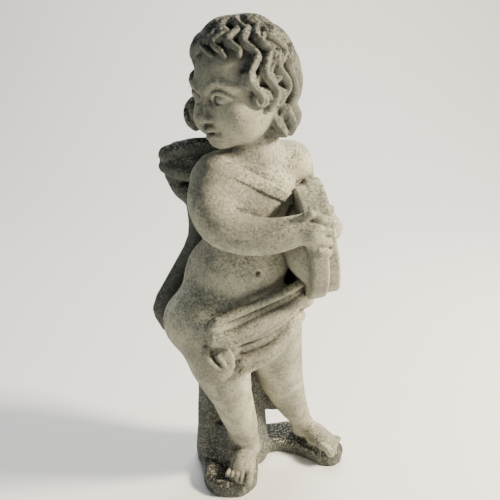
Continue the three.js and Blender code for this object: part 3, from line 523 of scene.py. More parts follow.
BEHIND_EARS = 102
crown_locks, middle_locks, side_locks, low_curls, side_curls = 12, 19, 15, 11, 9
hair_cap = head_egg([0, -13, 12], [86, 97, 92], 3)
hair = [hair_cap]
for i in range(crown_locks):
    end = 46 + 3 * math.sin(i * 2.3)
    hair.append(lock(360 * i / crown_locks, 5, end, radius=12, wave=8))
for i in range(middle_locks):
    around = 360 * (i + 0.5) / middle_locks
    end = hairline(around) + 3 * math.sin(i * 1.9)
    hair.append(lock(around, 34, end, radius=11.5, wave=7))
for around in np.linspace(66, 294, side_locks):
    end = 136 if from_front(around) > BEHIND_EARS else 112
    hair.append(lock(around, 66, end, radius=12, wave=6))
for i, around in enumerate(np.linspace(72, 288, low_curls)):
    down = 130 if from_front(around) > BEHIND_EARS else 106
    hair.append(curl(around, down, size=10, radius=7, winding=1 if i % 2 else -1))
for i, around in enumerate(np.linspace(60, 300, side_curls)):
    hair.append(curl(around, 84, size=10, radius=7, winding=-1 if i % 2 else 1))


def tuft(center, radii, count, radius):
    """A round bunch of hair: an egg with locks that wind down over it."""
    masses = [head_egg(center, [r - 2 for r in radii], 8)]
    for k in range(count):
        knots = []
        for t in np.linspace(0, 1, TUFT_KNOTS):
            around = 2 * math.pi * k / count + 1.3 * t
            down = math.radians(20 + 128 * t)
            way = [math.sin(down) * math.sin(around), math.sin(down) * math.cos(around), math.cos(down)]
            knots.append([*(np.array(center) + np.array(radii) * way), radius])
        masses.append(hair_limb(knots, 1.6, 2.0, 1.6))
    return masses


hair += tuft([-102, 36, -58], [20, 24, 28], count=5, radius=9)
hair += tuft([44, -40, -72], [28, 38, 34], count=7, radius=10)
print("locks and curls:", len(hair))

# %% [markdown]
# ## The cloak
# The cloak is knotted in a bunch on the right shoulder, runs over the chest as a flat strap, hangs in
# long folds down the back and swings round the hips to end in two hanging panels at the front.

# %% Cloak, panels and strap
bunch = [
    Egg([-124, 10, 716], [54, 34, 32], facing(0, 0, 4), 0),
    Limb([[-165, 0, 735, 18], [-120, -2, 750, 17], [-72, 0, 752, 18]], 4),
    Limb([[-168, 2, 712, 16], [-140, -14, 704, 18], [-96, -14, 696, 18]], 4),
    Limb([[-160, 6, 692, 13], [-138, -6, 664, 17], [-108, -4, 642, 17]], 4),
    Limb([[-136, 4, 660, 14], [-116, -8, 640, 15]], 3),
]
bunch_cuts = [
    Limb([[-150, -20, 737, 4], [-130, -28, 729, 6], [-112, -32, 717, 6], [-98, -30, 700, 4]], 5),
    Limb([[-170, -8, 680, 4], [-148, -22, 681, 6], [-124, -26, 685, 5]], 5),
]


def level_row(z, points):
    """A row of the cloak at one height."""
    return [[x, y, z] for x, y in points]


cloak_rows = [
    level_row(742, [[-150, 20], [-100, 34], [-44, 44], [8, 46], [56, 34]]),
    level_row(640, [[-122, 30], [-85, 48], [-38, 58], [20, 60], [84, 46]]),
    level_row(549, [[-120, 46], [-80, 62], [-30, 70], [30, 70], [100, 44]]),
    level_row(460, [[-164, 52], [-112, 80], [-45, 98], [30, 96], [108, 46]]),
    level_row(375, [[-206, 50], [-140, 84], [-55, 112], [30, 108], [104, 56]]),
    level_row(330, [[-190, 56], [-130, 88], [-52, 110], [28, 106], [96, 60]]),
    level_row(290, [[-152, 66], [-112, 88], [-50, 106], [25, 102], [88, 66]]),
    level_row(200, [[-122, 62], [-95, 80], [-45, 92], [20, 90], [72, 62]]),
    level_row(118, [[-118, 56], [-90, 70], [-45, 82], [15, 80], [64, 60]]),
]


def short_edge(knots, i):
    """The cloak's first edge ends higher than the rest and is thinner."""
    return [[*k[:3], k[3] * 0.72] for k in knots[:6]] if i == 0 else knots


cloak = folds(cloak_rows, count=10, radius=19, fillet=20, swell=(1.1, 0.82), trim=short_edge)
upper_panel = [
    [[112, -56, 486], [114, -46, 464], [114, -44, 444]],
    [[66, -100, 478], [68, -96, 452], [68, -98, 430]],
    [[14, -124, 464], [14, -122, 434], [14, -128, 408]],
    [[-36, -132, 444], [-38, -130, 412], [-40, -138, 384]],
    [[-64, -136, 432], [-72, -137, 408], [-70, -140, 388]],
]
lower_panel = [
    [[108, -32, 428], [108, -28, 404], [106, -30, 384]],
    [[78, -76, 418], [78, -72, 388], [80, -78, 364]],
    [[36, -98, 394], [38, -96, 362], [38, -106, 335]],
    [[-10, -104, 378], [-14, -104, 344], [-16, -118, 310]],
]
cloth_profile = [(0.0, 9, 0), (0.36, 10, 10), (0.72, 12, -1), (1.0, 7, -4)]


def panel(rows, hollowness, fillet):
    """Folds along a hanging panel: each some way down its rows, and a hollow lies back behind them."""
    made = []
    for down, girth, back in cloth_profile:
        knots = []
        for row, depth in zip(rows, hollowness):
            x, y, z = smooth_path(row, 50)[round(down * 50)]
            knots.append([x, y + back * depth, z, girth])
        made.append(Limb(knots, fillet))
    return made


panel_end = Limb([[-64, -136, 434, 9], [-80, -135, 410, 9], [-72, -140, 386, 8]], 3)
folded_corner = [
    Egg([-58, -124, 346], [28, 11, 24], facing(8), 6),
    Limb([[-88, -130, 370, 7], [-84, -134, 348, 8], [-60, -138, 328, 8], [-36, -134, 334, 7]], 3),
    Limb([[-64, -134, 354, 6], [-52, -138, 338, 6], [-50, -138, 324, 6]], 2),
]
rolls_round_hip = [
    Limb([[112, -44, 486, 16], [122, -10, 476, 20], [118, 24, 470, 22], [100, 52, 466, 20]], 10),
    Limb([[116, -34, 430, 14], [122, -4, 424, 18], [116, 30, 420, 20], [96, 60, 416, 20]], 10),
]
loincloth = [*panel(upper_panel, (1, 1, 1, 0.6, 0), 3), *panel(lower_panel, (1, 1, 1, 0.7), 3),
             panel_end, *folded_corner, *rolls_round_hip]
strap_up = unit([0.47, 0.05, 0.88])
strap_point = place([8, -60, 700])
print("masses of the cloak:", len(bunch) + len(cloak) + len(loincloth))

# %% [markdown]
# ## Stump and rock
# A stone figure can't stand on two thin ankles, so the carver leaves a tree stump behind the leg that
# carries the weight. The rock base has a lobe under each foot and a neck between them, flat below.

# %% Stump and base
stump = Limb([[-44, 62, -10, 90], [-44, 58, 60, 84], [-44, 58, 130, 80], [-38, 62, 240, 72],
              [-30, 60, 330, 60]], 20, flat_way=(0, 1, 0), thin=0.72)
stump_side = Limb([[-98, 20, 0, 26], [-100, 22, 70, 24], [-98, 18, 150, 24], [-88, 0, 240, 24]], 14)
heel_fill = Limb([[-60, 0, 0, 22], [-44, 0, 60, 22], [-30, 0, 100, 20]], 18)
trunk = [stump, stump_side, heel_fill]
trunk_cuts = [Limb([[-80, -32, 150, 8], [-77, -12, 124, 11], [-70, 4, 100, 7]], 8)]
base_lobes = [([-46, 70], [-45, -30], 54), ([-40, 84], [96, 116], 31), ([112, 108], [192, 50], 29)]
LOBE_FILLET = 26
RAGGEDNESS = 0.9
TOP_UNEVENNESS = 1.2
BASE_EDGE = 9.0


class Base:
    """A flat-bottomed slab of rock whose outline is three rounded bars with a ragged edge."""

    fillet = 12 * SHARE

    def near(self, center, radius):
        return self if center[2] - radius < BASE_THICKNESS + FELT else None

    def distance(self, points):
        x, y, z = points.T
        flat = np.full(len(points), FAR, np.float32)
        for start, end, radius in base_lobes:
            a = np.array(start) * SHARE
            way = np.array(end) * SHARE - a
            t = np.clip(((x - a[0]) * way[0] + (y - a[1]) * way[1]) / (way @ way), 0, 1)
            size = np.hypot(x - a[0] - way[0] * t, y - a[1] - way[1] * t)
            flat = join(flat, size - radius * SHARE - BASE_MARGIN, LOBE_FILLET * SHARE)
        bearing = np.arctan2(y, x)
        flat = flat + (np.sin(bearing * 5 + z / 9) + np.sin(bearing * 11 - z / 6)) * RAGGEDNESS * SHARE
        top = z - BASE_THICKNESS + np.sin(x / 17) * np.sin(y / 13) * TOP_UNEVENNESS * SHARE
        out, over = flat + BASE_EDGE, top + BASE_EDGE
        corner = np.hypot(np.maximum(out, 0), np.maximum(over, 0))
        return corner + np.minimum(np.maximum(out, over), 0) - BASE_EDGE


base = [Base()]
print("masses of the stump:", len(trunk), "lobes of the base:", len(base_lobes))

# %% [markdown]
# ## From distances to a mesh
# Space is cut into small cubes. Blocks of cubes far from the surface are skipped, and each block only
# asks the masses that can reach it. The layers are joined in a carver's order: flesh, limbs, stump,
# cloth, head, the things held, and the rock.

# %% Sample the layers
LAYERS = {
    "body": torso + legs, "navel": navel, "limbs": arms + feet, "trunk": trunk, "trunk_cuts": trunk_cuts,
    "bunch": bunch, "bunch_cuts": bunch_cuts, "cloth": cloak + loincloth,
    "face": face, "face_cuts": face_cuts, "features": face_features, "hair": hair,
    "held": cymbals + hands, "base": base,
}
STRAP_JOIN = 1.0
STRAP_BACK_END = 20 * SHARE
CLOTH_JOIN = 4 * SHARE
FEATURE_JOIN = 2 * SHARE
HAIR_JOIN = 3 * SHARE
HEAD_JOIN = 12 * SHARE
HELD_JOIN = 3 * SHARE
BASE_JOIN = 9 * SHARE


def reach_of(masses, points):
    """The distance to a layer, which is its masses joined one by one."""
    d = np.full(len(points), FAR, np.float32)
    for mass in masses:
        d = join(d, mass.distance(points), mass.fillet)
    return d


def carve(d, masses, points):
    """Takes a layer's masses out of a solid, one by one."""
    for mass in masses:
        d = cut(d, mass.distance(points), mass.fillet)
    return d


def evaluate(near, points):
    """The distance to the whole statue, layer over layer."""
    body = reach_of(near["body"], points)
    figure = carve(body, near["navel"], points)
    level = (points - strap_point) @ strap_up
    band = np.maximum(np.abs(level) - STRAP_WIDTH / 2, body - STRAP_RELIEF)
    figure = join(figure, np.maximum(band, points[:, 1] - STRAP_BACK_END), STRAP_JOIN)
    figure = join(figure, reach_of(near["limbs"], points), LIMB_JOIN)
    figure = join(figure, reach_of(near["trunk"], points), LIMB_JOIN)
    figure = carve(figure, near["trunk_cuts"], points)
    knot = carve(reach_of(near["bunch"], points), near["bunch_cuts"], points)
    figure = join(figure, join(knot, reach_of(near["cloth"], points), CLOTH_JOIN), CLOTH_JOIN)
    head = carve(reach_of(near["face"], points), near["face_cuts"], points)
    head = join(head, reach_of(near["features"], points), FEATURE_JOIN)
    head = join(head, reach_of(near["hair"], points), HAIR_JOIN)
    figure = join(figure, head, HEAD_JOIN)
    figure = join(figure, reach_of(near["held"], points), HELD_JOIN)
    figure = join(figure, reach_of(near["base"], points), BASE_JOIN)
    return np.maximum(figure, -points[:, 2])


def feel(center, radius):
    """For every layer, the masses that a ball can feel."""
    found = {name: [mass.near(center, radius) for mass in masses] for name, masses in LAYERS.items()}
    return {name: [mass for mass in masses if mass is not None] for name, masses in found.items()}


# A block is 16 cubes wide, and a first look takes one sample for every 4 by 4 by 4 of them. All of
# them are sampled only where that look, taken with some caution, says that the surface may be near.
BLOCK, SUB = 16, 4
CAUTION = 1.6
OUTSIDE = 3 * VOXEL
low, high = np.array(node_low) * 1000, np.array(node_high) * 1000
margin = 4 * VOXEL


def grid_line(start, end, size):
    """Sample places along one axis, in whole blocks."""
    count = math.ceil((end - start) / size / BLOCK) * BLOCK
    return start + np.arange(count) * size


xs = grid_line(low[0] - margin, high[0] + margin, VOXEL)
ys = grid_line(low[1] - margin, high[1] + margin, VOXEL)
zs = grid_line(-margin, HEAD_START, VOXEL_TALL)
zs = np.concatenate([zs, grid_line(zs[-1] + VOXEL_HEAD, high[2] + margin, VOXEL_HEAD)])
steps = np.stack(np.meshgrid(*[np.arange(BLOCK)] * 3, indexing="ij"), -1).reshape(-1, 3)
subs = np.stack(np.meshgrid(*[np.arange(BLOCK // SUB)] * 3, indexing="ij"), -1).reshape(-1, 3)
sub_of_step = (steps // SUB) @ np.array([(BLOCK // SUB) ** 2, BLOCK // SUB, 1])
field = np.full((len(xs), len(ys), len(zs)), OUTSIDE, np.float32)
sampled = 0
for start in np.ndindex(*(n // BLOCK for n in field.shape)):
    lines = [line[at * BLOCK:(at + 1) * BLOCK] for line, at in zip((xs, ys, zs), start)]
    corner = np.array([line[0] for line in lines])
    size = np.array([line[1] - line[0] for line in lines])
    near = feel(corner + size * BLOCK / 2, np.linalg.norm(size) * BLOCK / 2)
    if not any(near.values()):
        continue
    coarse = evaluate(near, (corner + (subs * SUB + (SUB - 1) / 2) * size).astype(np.float32))
    values = np.where(coarse < 0, -OUTSIDE, OUTSIDE)[sub_of_step].astype(np.float32)
    fine = (np.abs(coarse) < np.linalg.norm(size) * SUB / 2 * CAUTION + VOXEL)[sub_of_step]
    if fine.any():
        values[fine] = evaluate(near, (corner + steps[fine] * size).astype(np.float32))
    field[tuple(slice(at * BLOCK, (at + 1) * BLOCK) for at in start)] = values.reshape((BLOCK,) * 3)
    sampled += 1
print("blocks sampled:", sampled, "of", field.size // BLOCK ** 3)

# %% [markdown]
# The surface is where the distance passes through zero. A volume tool turns the cubes into a skin of
# small quads there, and the skin is then turned into the one mesh of the statue. Only the largest
# connected skin is kept, so that no bubble is left inside the stone.

# %% Make the skin
grid = openvdb.FloatGrid(OUTSIDE)
grid.copyFromArray(np.clip(field, -OUTSIDE, OUTSIDE))
skin_points, skin_quads = grid.convertToQuads(isovalue=0.0)
skin_points = np.stack([np.interp(skin_points[:, axis], np.arange(len(line)), line)
                        for axis, line in enumerate((xs, ys, zs))], 1)
skin_points = np.clip(skin_points, low, high)
skin_points[:, 2] = np.where(skin_points[:, 2] < VOXEL_TALL / 2, 0.0, skin_points[:, 2])
print("skin points:", len(skin_points), "quads:", len(skin_quads))


def largest_part(points, quads):
    """Keeps the largest connected skin."""
    label = np.arange(len(points))
    while True:
        least = label[quads].min(1)
        fresh = label.copy()
        np.minimum.at(fresh, quads.ravel(), np.repeat(least, 4))
        fresh = fresh[fresh]
        if (fresh == label).all():
            break
        label = fresh
    names, counts = np.unique(label[quads[:, 0]], return_counts=True)
    kept = quads[label[quads[:, 0]] == names[counts.argmax()]]
    used = np.unique(kept)
    index = np.full(len(points), -1)
    index[used] = np.arange(len(used))
    return points[used], index[kept]


skin_points, skin_quads = largest_part(skin_points, skin_quads)
skin = bpy.data.meshes.new("putto_statue_skin")
skin.from_pydata((skin_points / 1000).tolist(), [], skin_quads.tolist())
skin.validate()
piece = bpy.data.objects.new("putto_statue_stone", skin)
bpy.context.scene.collection.objects.link(piece)


def settle(modifier):
    """Turns the object's mesh into what the modifier makes of it, and removes the modifier."""
    graph = bpy.context.evaluated_depsgraph_get()
    made = bpy.data.meshes.new_from_object(piece.evaluated_get(graph), depsgraph=graph)
    piece.modifiers.remove(modifier)
    piece.data = made
    return made


thin = piece.modifiers.new("thin", "DECIMATE")
thin.ratio = min(1.0, TRIANGLES / (2 * len(skin.polygons)))
thin.use_collapse_triangulate = True
stone_mesh = settle(thin)
print("triangles:", len(stone_mesh.polygons))

# %% [markdown]
# ## What each patch of stone has lived through
# Rain washes the smooth skin pale, shade is painted into the hollows, and lichen settles on what faces
# the sky and on the rough places: hair, the cloak and the rock. Each vertex gets five numbers for this:
# four zones from the same masses that shaped it, and how hollow the mesh is there.

# %% Zones and hollows as attributes
HAIR_FADE, CLOTH_FADE, FACE_FADE, BASE_FADE, TRUNK_FADE = 7, 6, 6, 8, 5
HOLLOW_ROUNDS = (3, 14)


def mesh_arrays(mesh):
    """A mesh's vertex places, its edges and its vertex normals."""
    points = np.empty(len(mesh.vertices) * 3)
    mesh.vertices.foreach_get("co", points)
    edges = np.empty(len(mesh.edges) * 2, int)
    mesh.edges.foreach_get("vertices", edges)
    normals = np.empty(len(mesh.vertices) * 3)
    mesh.vertices.foreach_get("normal", normals)
    return points.reshape(-1, 3), edges.reshape(-1, 2), normals.reshape(-1, 3)


def soften(values, edges, rounds):
    """Averages values over neighbouring vertices."""
    count = np.bincount(edges.ravel(), minlength=len(values))[:, None]
    for _ in range(rounds):
        total = np.zeros_like(values)
        np.add.at(total, edges[:, 0], values[edges[:, 1]])
        np.add.at(total, edges[:, 1], values[edges[:, 0]])
        values = (values + total) / (count + 1)
    return values


def closeness(masses, points, width):
    """One on a layer's own surface, falling to nothing over a width in millimetres."""
    return np.clip(1 - reach_of(masses, points) / width, 0, 1)


def store(mesh, name, values):
    """Keeps one number for each vertex under a name that the material can read."""
    layer = mesh.attributes.new(name, "FLOAT", "POINT")
    layer.data.foreach_set("value", np.ascontiguousarray(values, np.float32))


vertices, edges, normals = mesh_arrays(stone_mesh)
spots = (vertices * 1000).astype(np.float32)
locks_and_curls = [mass for mass in hair if mass is not hair_cap]
zones = {
    "hair": closeness(locks_and_curls, spots, HAIR_FADE),
    "cloth": closeness(bunch + cloak, spots, CLOTH_FADE),
    "face": closeness(bare_head, spots, FACE_FADE),
    "rock": np.maximum(closeness(base, spots, BASE_FADE), closeness(trunk, spots, TRUNK_FADE)),
}
# How hollow the mesh is; the material uses it only to paint shade into the hollows.
hollow = np.zeros(len(vertices))
for rounds in HOLLOW_ROUNDS:
    drift = ((soften(vertices, edges, rounds) - vertices) * normals).sum(1) * 1000
    hollow = hollow + 0.5 * drift / max(np.percentile(np.abs(drift), 90), 1e-6)
zones["hollow"] = soften(np.clip(hollow * 0.5 + 0.5, 0, 1)[:, None], edges, 1)[:, 0]
for name, values in zones.items():
    store(stone_mesh, name, soften(np.asarray(values, float)[:, None], edges, 2)[:, 0])
    print(name, "mean", round(float(np.mean(values)), 3))

# %% [markdown]
# ## Weathering in relief
# Wind and rain leave cast stone faintly uneven. A small Geometry Nodes tree moves the surface along
# its own normal by two noises, one slow and one quick, so the strength and the grain stay easy to
# change. Its work is then fixed in the mesh.

# %% The weathering tree
def add_node(tree, kind, inputs=(), **settings):
    """Adds a node to a tree with its settings, and links or sets its inputs."""
    made = tree.nodes.new(kind)
    for key, value in settings.items():
        setattr(made, key, value)
    for socket, source in inputs:
        if hasattr(source, "is_output"):
            tree.links.new(source, made.inputs[socket])
        else:
            made.inputs[socket].default_value = source
    return made


SLOW_DEPTH, QUICK_DEPTH = 0.0007, 0.0006
SLOW_SEED, QUICK_SEED = 3.7, 11.3
FLAT_FOOT = 0.004


def build_weathering():
    """Two seeded noises push the skin along its normal, but leave the flat underside alone."""
    tree = bpy.data.node_groups.new("weathered_relief", "GeometryNodeTree")
    sides = tree.interface
    sides.new_socket("Geometry", in_out="INPUT", socket_type="NodeSocketGeometry")
    for name, value in (("Slow Grain", 34.0), ("Slow Depth", SLOW_DEPTH), ("Quick Grain", 150.0),
                        ("Quick Depth", QUICK_DEPTH)):
        sides.new_socket(name, in_out="INPUT", socket_type="NodeSocketFloat").default_value = value
    sides.new_socket("Stone", in_out="INPUT", socket_type="NodeSocketMaterial")
    sides.new_socket("Geometry", in_out="OUTPUT", socket_type="NodeSocketGeometry")

    def node(kind, inputs=(), **settings):
        return add_node(tree, kind, inputs, **settings)

    inputs = node("NodeGroupInput")
    place_of = node("GeometryNodeInputPosition").outputs[0]
    heights = []
    for kind, seed in (("Slow", SLOW_SEED), ("Quick", QUICK_SEED)):
        grain, depth = inputs.outputs[kind + " Grain"], inputs.outputs[kind + " Depth"]
        noise = node("ShaderNodeTexNoise", [("Vector", place_of), ("Scale", grain), ("Detail", 2.0),
                                            ("W", seed)], noise_dimensions="4D")
        level = node("ShaderNodeMath", [(0, noise.outputs[0]), (1, 0.5)], operation="SUBTRACT")
        scaled = node("ShaderNodeMath", [(0, level.outputs[0]), (1, depth)], operation="MULTIPLY")
        heights.append(scaled.outputs[0])
    height = node("ShaderNodeMath", [(0, heights[0]), (1, heights[1])], operation="ADD")
    normal = node("GeometryNodeInputNormal").outputs[0]
    push = node("ShaderNodeVectorMath", [(0, normal)], operation="SCALE")
    tree.links.new(height.outputs[0], push.inputs["Scale"])
    above = node("ShaderNodeSeparateXYZ", [(0, place_of)])
    free = node("FunctionNodeCompare", [(0, above.outputs["Z"]), (1, FLAT_FOOT)], data_type="FLOAT",
                operation="GREATER_THAN")
    moved = node("GeometryNodeSetPosition", [("Geometry", inputs.outputs["Geometry"]),
                                             ("Selection", free.outputs[0]), ("Offset", push.outputs[0])])
    real = node("GeometryNodeRealizeInstances", [("Geometry", moved.outputs[0])])
    painted = node("GeometryNodeSetMaterial", [("Geometry", real.outputs[0]),
                                               ("Material", inputs.outputs["Stone"])])
    node("NodeGroupOutput", [(0, painted.outputs[0])])
    return tree


# %% [markdown]
# ## Cast stone, aged outdoors
# Fresh cast stone is a warm cream. Outdoors it gains a thin grey film, then painted shade goes into
# its hollows, then black lichen in patches and thousands of small pits. The finish is built in that
# order, each layer laid over the last by a mask, and it stays fully rough because weathered stone has no
# shine.

# %% Colours and the stone material
def linear(code):
    """An sRGB hex colour as linear values."""
    values = [int(code[i:i + 2], 16) / 255 for i in (0, 2, 4)]
    return [v / 12.92 if v <= 0.04045 else ((v + 0.055) / 1.055) ** 2.4 for v in values] + [1.0]


stone = bpy.data.materials.new("Cast stone, weathered outdoors with lichen")
stone.use_nodes = True
stone.node_tree.nodes.clear()


def add(kind, inputs=(), out=0, **settings):
    """Adds a node to the stone and gives back one of its outputs."""
    return add_node(stone.node_tree, kind, inputs, **settings).outputs[out]


def calc(operation, a, b=0.0, clamp=False):
    """A sum, product or the like of two values."""
    return add("ShaderNodeMath", [(0, a), (1, b)], operation=operation, use_clamp=clamp)


def blend(mask, under, over):
    """Lays one colour over another where the mask is one."""
    return add("ShaderNodeMix", [(0, mask), (6, under), (7, over)], out=2, data_type="RGBA")


def between(value, low, high):
    """A smooth step from nothing at the first limit to one at the second."""
    return add("ShaderNodeMapRange", [("Value", value), ("From Min", low), ("From Max", high)],
               interpolation_type="SMOOTHSTEP")


def attribute(name):
    return add("ShaderNodeAttribute", out=2, attribute_name=name)


def noise(grain, detail, seed, rough=0.55):
    """A seeded noise whose blobs are about as wide as the grain, in metres."""
    return add("ShaderNodeTexNoise", [("Vector", where), ("Scale", 1 / grain), ("Detail", detail),
                                      ("Roughness", rough), ("W", seed)], noise_dimensions="4D")


# %% [markdown]
# Every pattern lies in the object's own space, so it stays put from all sides. The widths are real
# ones: clouds of 85 mm, blotches of 30 mm, lichen of 10 mm and grains of about 4 mm.

# %% Patterns and zones
CLOUD, BLOTCH, LICHEN_SPOT, SPECK, GRAIN = 0.085, 0.030, 0.010, 0.0045, 0.0042
PITS_PER_METRE = 150.0
where = add("ShaderNodeTexCoord", out=3)
normal_z = add("ShaderNodeSeparateXYZ", [(0, add("ShaderNodeNewGeometry", out=1))], out=2)
sky = between(normal_z, -0.2, 0.9)
hair_zone, cloth_zone, face_zone, rock_zone, hollow_zone = (
    attribute(name) for name in ("hair", "cloth", "face", "rock", "hollow"))
bare = calc("SUBTRACT", 1.0, calc("MULTIPLY", face_zone, 0.7))

cloudy = noise(CLOUD, 5, 1.3)
blotch = noise(BLOTCH, 6, 4.1, 0.62)
speck = noise(SPECK, 4, 7.7, 0.7)
rough_places = calc("MAXIMUM", calc("MAXIMUM", hair_zone, calc("MULTIPLY", cloth_zone, 0.75)), rock_zone)

cream, sand = linear("B4B29D"), linear("878678")
grey_film, slate_and_cloak_shade = linear("70746D"), linear("3F4545")
# The near-black grey serves both the real dark grains and the painted shade in the hollows.
grime_and_crease_shade, lichen, pale_lichen = linear("3C3B36"), linear("232527"), linear("C9C4B0")

# %% [markdown]
# The washed skin swings between cream and sand, and a grey film in blotches gives it the cloudiness
# of old stone. Cloak, rock and hair are darker; on the cloak the dark slate is partly painted shade.
# Every hollow gets a line of painted shade, which makes the carving readable from a step away.

# %% Stone, film and painted shade in the hollows
colour = blend(between(cloudy, 0.38, 0.66), sand, cream)
film_on_skin = calc("MULTIPLY", between(blotch, 0.40, 0.66), calc("MULTIPLY", bare, 0.65))
film = calc("ADD", film_on_skin, calc("MULTIPLY", rough_places, 0.4), True)
colour = blend(film, colour, grey_film)
# On the cloak this dark slate is partly painted shade as well as lichen-darkened stone; on the rock it is
# the stone's own colour.
colour = blend(calc("MULTIPLY", calc("MAXIMUM", cloth_zone, rock_zone), 0.8), colour, slate_and_cloak_shade)
colour = blend(calc("MULTIPLY", hair_zone, 0.55), colour, slate_and_cloak_shade)
# Painted shade: every hollow is darkened towards near-black, as if shadow lay in it.
crease_shade_mask = calc("MULTIPLY", between(hollow_zone, 0.56, 0.88), calc("MULTIPLY", bare, 0.85))
colour = blend(crease_shade_mask, colour, grime_and_crease_shade)

# %% [markdown]
# Black lichen grows in patches, most of all where stone faces the sky. Fine pale and dark grains
# give the salt-and-pepper look of worn cast stone, weaker on the face.

# %% Lichen and grains
patches = calc("MULTIPLY", rough_places, calc("ADD", calc("MULTIPLY", sky, 0.17), 0.03))
lichen_mask = between(calc("ADD", noise(LICHEN_SPOT, 8, 2.6, 0.78), patches), 0.58, 0.70)
colour = blend(calc("MULTIPLY", lichen_mask, 0.85), colour, lichen)
fine_grain = noise(GRAIN, 4, 5.9, 0.75)
worn = calc("MULTIPLY", between(normal_z, -0.25, 0.55), between(cloudy, 0.36, 0.60))
sheltered = calc("MULTIPLY", calc("MAXIMUM", hair_zone, cloth_zone), 0.45)
grain_strength = calc("MULTIPLY", calc("ADD", calc("MULTIPLY", worn, 0.5), 0.22),
                      calc("SUBTRACT", bare, sheltered))
pale_grains = calc("MULTIPLY", between(fine_grain, 0.50, 0.62), grain_strength)
colour = blend(pale_grains, colour, pale_lichen)
dark_grains = calc("MULTIPLY", between(fine_grain, 0.50, 0.38), calc("ADD", grain_strength, 0.14))
colour = blend(dark_grains, colour, grime_and_crease_shade)
colour = blend(calc("MULTIPLY", between(speck, 0.56, 0.68), 0.4), colour, grime_and_crease_shade)

# %% [markdown]
# Dark little pits are left where grit fell out. Pits and grains dent the surface a little, so the
# light breaks up as it does on real stone.

# %% Pits, fine relief and the surface
pits = add("ShaderNodeTexVoronoi", [("Vector", where), ("Scale", PITS_PER_METRE), ("Randomness", 1.0)],
           feature="F1")
pit_mask = calc("MULTIPLY", between(pits, 0.26, 0.08), between(blotch, 0.50, 0.60))
colour = blend(calc("MULTIPLY", pit_mask, 0.7), colour, lichen)
height = calc("ADD", calc("MULTIPLY", speck, 0.6), calc("MULTIPLY", fine_grain, 0.6))
height = calc("SUBTRACT", height, calc("MULTIPLY", pit_mask, 0.9))
bump = add("ShaderNodeBump", [("Strength", 0.8), ("Distance", 0.0018), ("Height", height)])
surface = add("ShaderNodeBsdfPrincipled", [("Base Color", colour), ("Roughness", 0.92), ("IOR", 1.5),
                                           ("Specular IOR Level", 0.25), ("Normal", bump)])
add_node(stone.node_tree, "ShaderNodeOutputMaterial", [("Surface", surface)])
print("material nodes:", len(stone.node_tree.nodes))

# %% [markdown]
# ## The finished piece
# The weathering is fixed in the mesh, and the mesh is kept inside the construction box. Then the
# piece takes the place of the construction model's one solid.

# %% Set the weathering and fix it in the mesh
weather = piece.modifiers.new("weathering", "NODES")
weather.node_group = build_weathering()
sockets = {item.name: item.identifier for item in weather.node_group.interface.items_tree
           if item.in_out == "INPUT"}
weather[sockets["Slow Depth"]] = SLOW_DEPTH
weather[sockets["Quick Depth"]] = QUICK_DEPTH
weather[sockets["Stone"]] = stone
stone_mesh = settle(weather)
stone_mesh.name = "putto_statue_stone"
points = mesh_arrays(stone_mesh)[0]
points = np.clip(points, np.array(node_low), np.array(node_high))
stone_mesh.vertices.foreach_set("co", points.ravel())
stone_mesh.polygons.foreach_set("use_smooth", [True] * len(stone_mesh.polygons))
stone_mesh.update()
print("materials on the mesh:", [m.name for m in stone_mesh.materials])

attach(piece, "root")
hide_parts(NODE)

# %% [markdown]
# ## Floor, light and camera
# The statue stands on a plain pale floor that sweeps up behind it, so no horizon cuts the picture.
# A soft key light comes from the right and above, with a weak fill from the left. The camera looks
# down a little, as a visitor on their feet would.

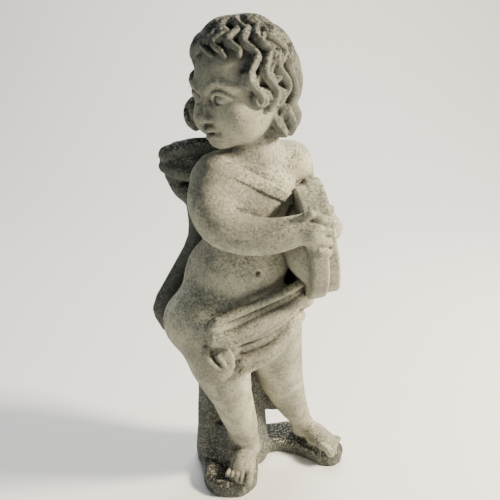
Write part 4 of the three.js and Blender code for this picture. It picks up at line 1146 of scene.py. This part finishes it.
# %% Floor, lights and camera
SWEEP_RADIUS, SWEEP_START, SWEEP_TOP, HALF_WIDTH = 1.5, 1.6, 6.0, 6.0
SWEEP_STEPS = 12
FRONT_EDGE = -5.0
LIGHT_AIM = (0, 0, 0.45)
CAMERA_PLACE = (0.0, -1.02, 0.855)
CAMERA_TILT = 70.5
CAMERA_LENS, SENSOR_WIDTH = 42.48, 36.0
profile = [(FRONT_EDGE, 0.0), (SWEEP_START, 0.0)]
for step in range(1, SWEEP_STEPS + 1):
    angle = math.radians(90 * step / SWEEP_STEPS)
    profile.append((SWEEP_START + SWEEP_RADIUS * math.sin(angle), SWEEP_RADIUS * (1 - math.cos(angle))))
profile.append((SWEEP_START + SWEEP_RADIUS, SWEEP_TOP))
floor_points = [(x, y, z) for y, z in profile for x in (-HALF_WIDTH, HALF_WIDTH)]
floor_faces = [(2 * i, 2 * i + 1, 2 * i + 3, 2 * i + 2) for i in range(len(profile) - 1)]
floor_mesh = bpy.data.meshes.new("floor")
floor_mesh.from_pydata(floor_points, [], floor_faces)
floor_mesh.polygons.foreach_set("use_smooth", [True] * len(floor_faces))
floor = bpy.data.objects.new("floor", floor_mesh)
bpy.context.scene.collection.objects.link(floor)
floor_paint = bpy.data.materials.new("Matt pale studio floor")
floor_paint.use_nodes = True
floor_shader = floor_paint.node_tree.nodes["Principled BSDF"]
floor_shader.inputs["Base Color"].default_value = linear("EDEDEB")
floor_shader.inputs["Roughness"].default_value = 0.9
floor_mesh.materials.append(floor_paint)


def soft_light(name, at, size, power, tint):
    """A square light that looks at the middle of the statue. Its power is in watts."""
    data = bpy.data.lights.new(name, "AREA")
    data.shape = "SQUARE"
    data.size = size
    data.energy = power
    data.color = linear(tint)[:3]
    lamp = bpy.data.objects.new(name, data)
    lamp.location = at
    lamp.rotation_euler = (Vector(LIGHT_AIM) - Vector(at)).to_track_quat("-Z", "Y").to_euler()
    bpy.context.scene.collection.objects.link(lamp)


soft_light("key", (2.3, -0.45, 1.8), 0.45, 275, "FFEFD2")
soft_light("fill", (-2.2, -1.6, 1.2), 2.2, 5, "CFE0F2")
soft_light("backdrop", (0.0, 2.4, 3.8), 2.6, 230, "FFFFFF")
world = bpy.data.worlds.new("studio")
world.use_nodes = True
room_light = world.node_tree.nodes["Background"]
room_light.inputs["Color"].default_value = linear("D3E2EA")
room_light.inputs["Strength"].default_value = 0.22
bpy.context.scene.world = world

camera_data = bpy.data.cameras.new("camera")
camera_data.lens = CAMERA_LENS
camera_data.sensor_width = SENSOR_WIDTH
camera = bpy.data.objects.new("camera", camera_data)
camera.location = CAMERA_PLACE
camera.rotation_euler = (math.radians(CAMERA_TILT), 0.0, 0.0)
bpy.context.scene.collection.objects.link(camera)
bpy.context.scene.camera = camera
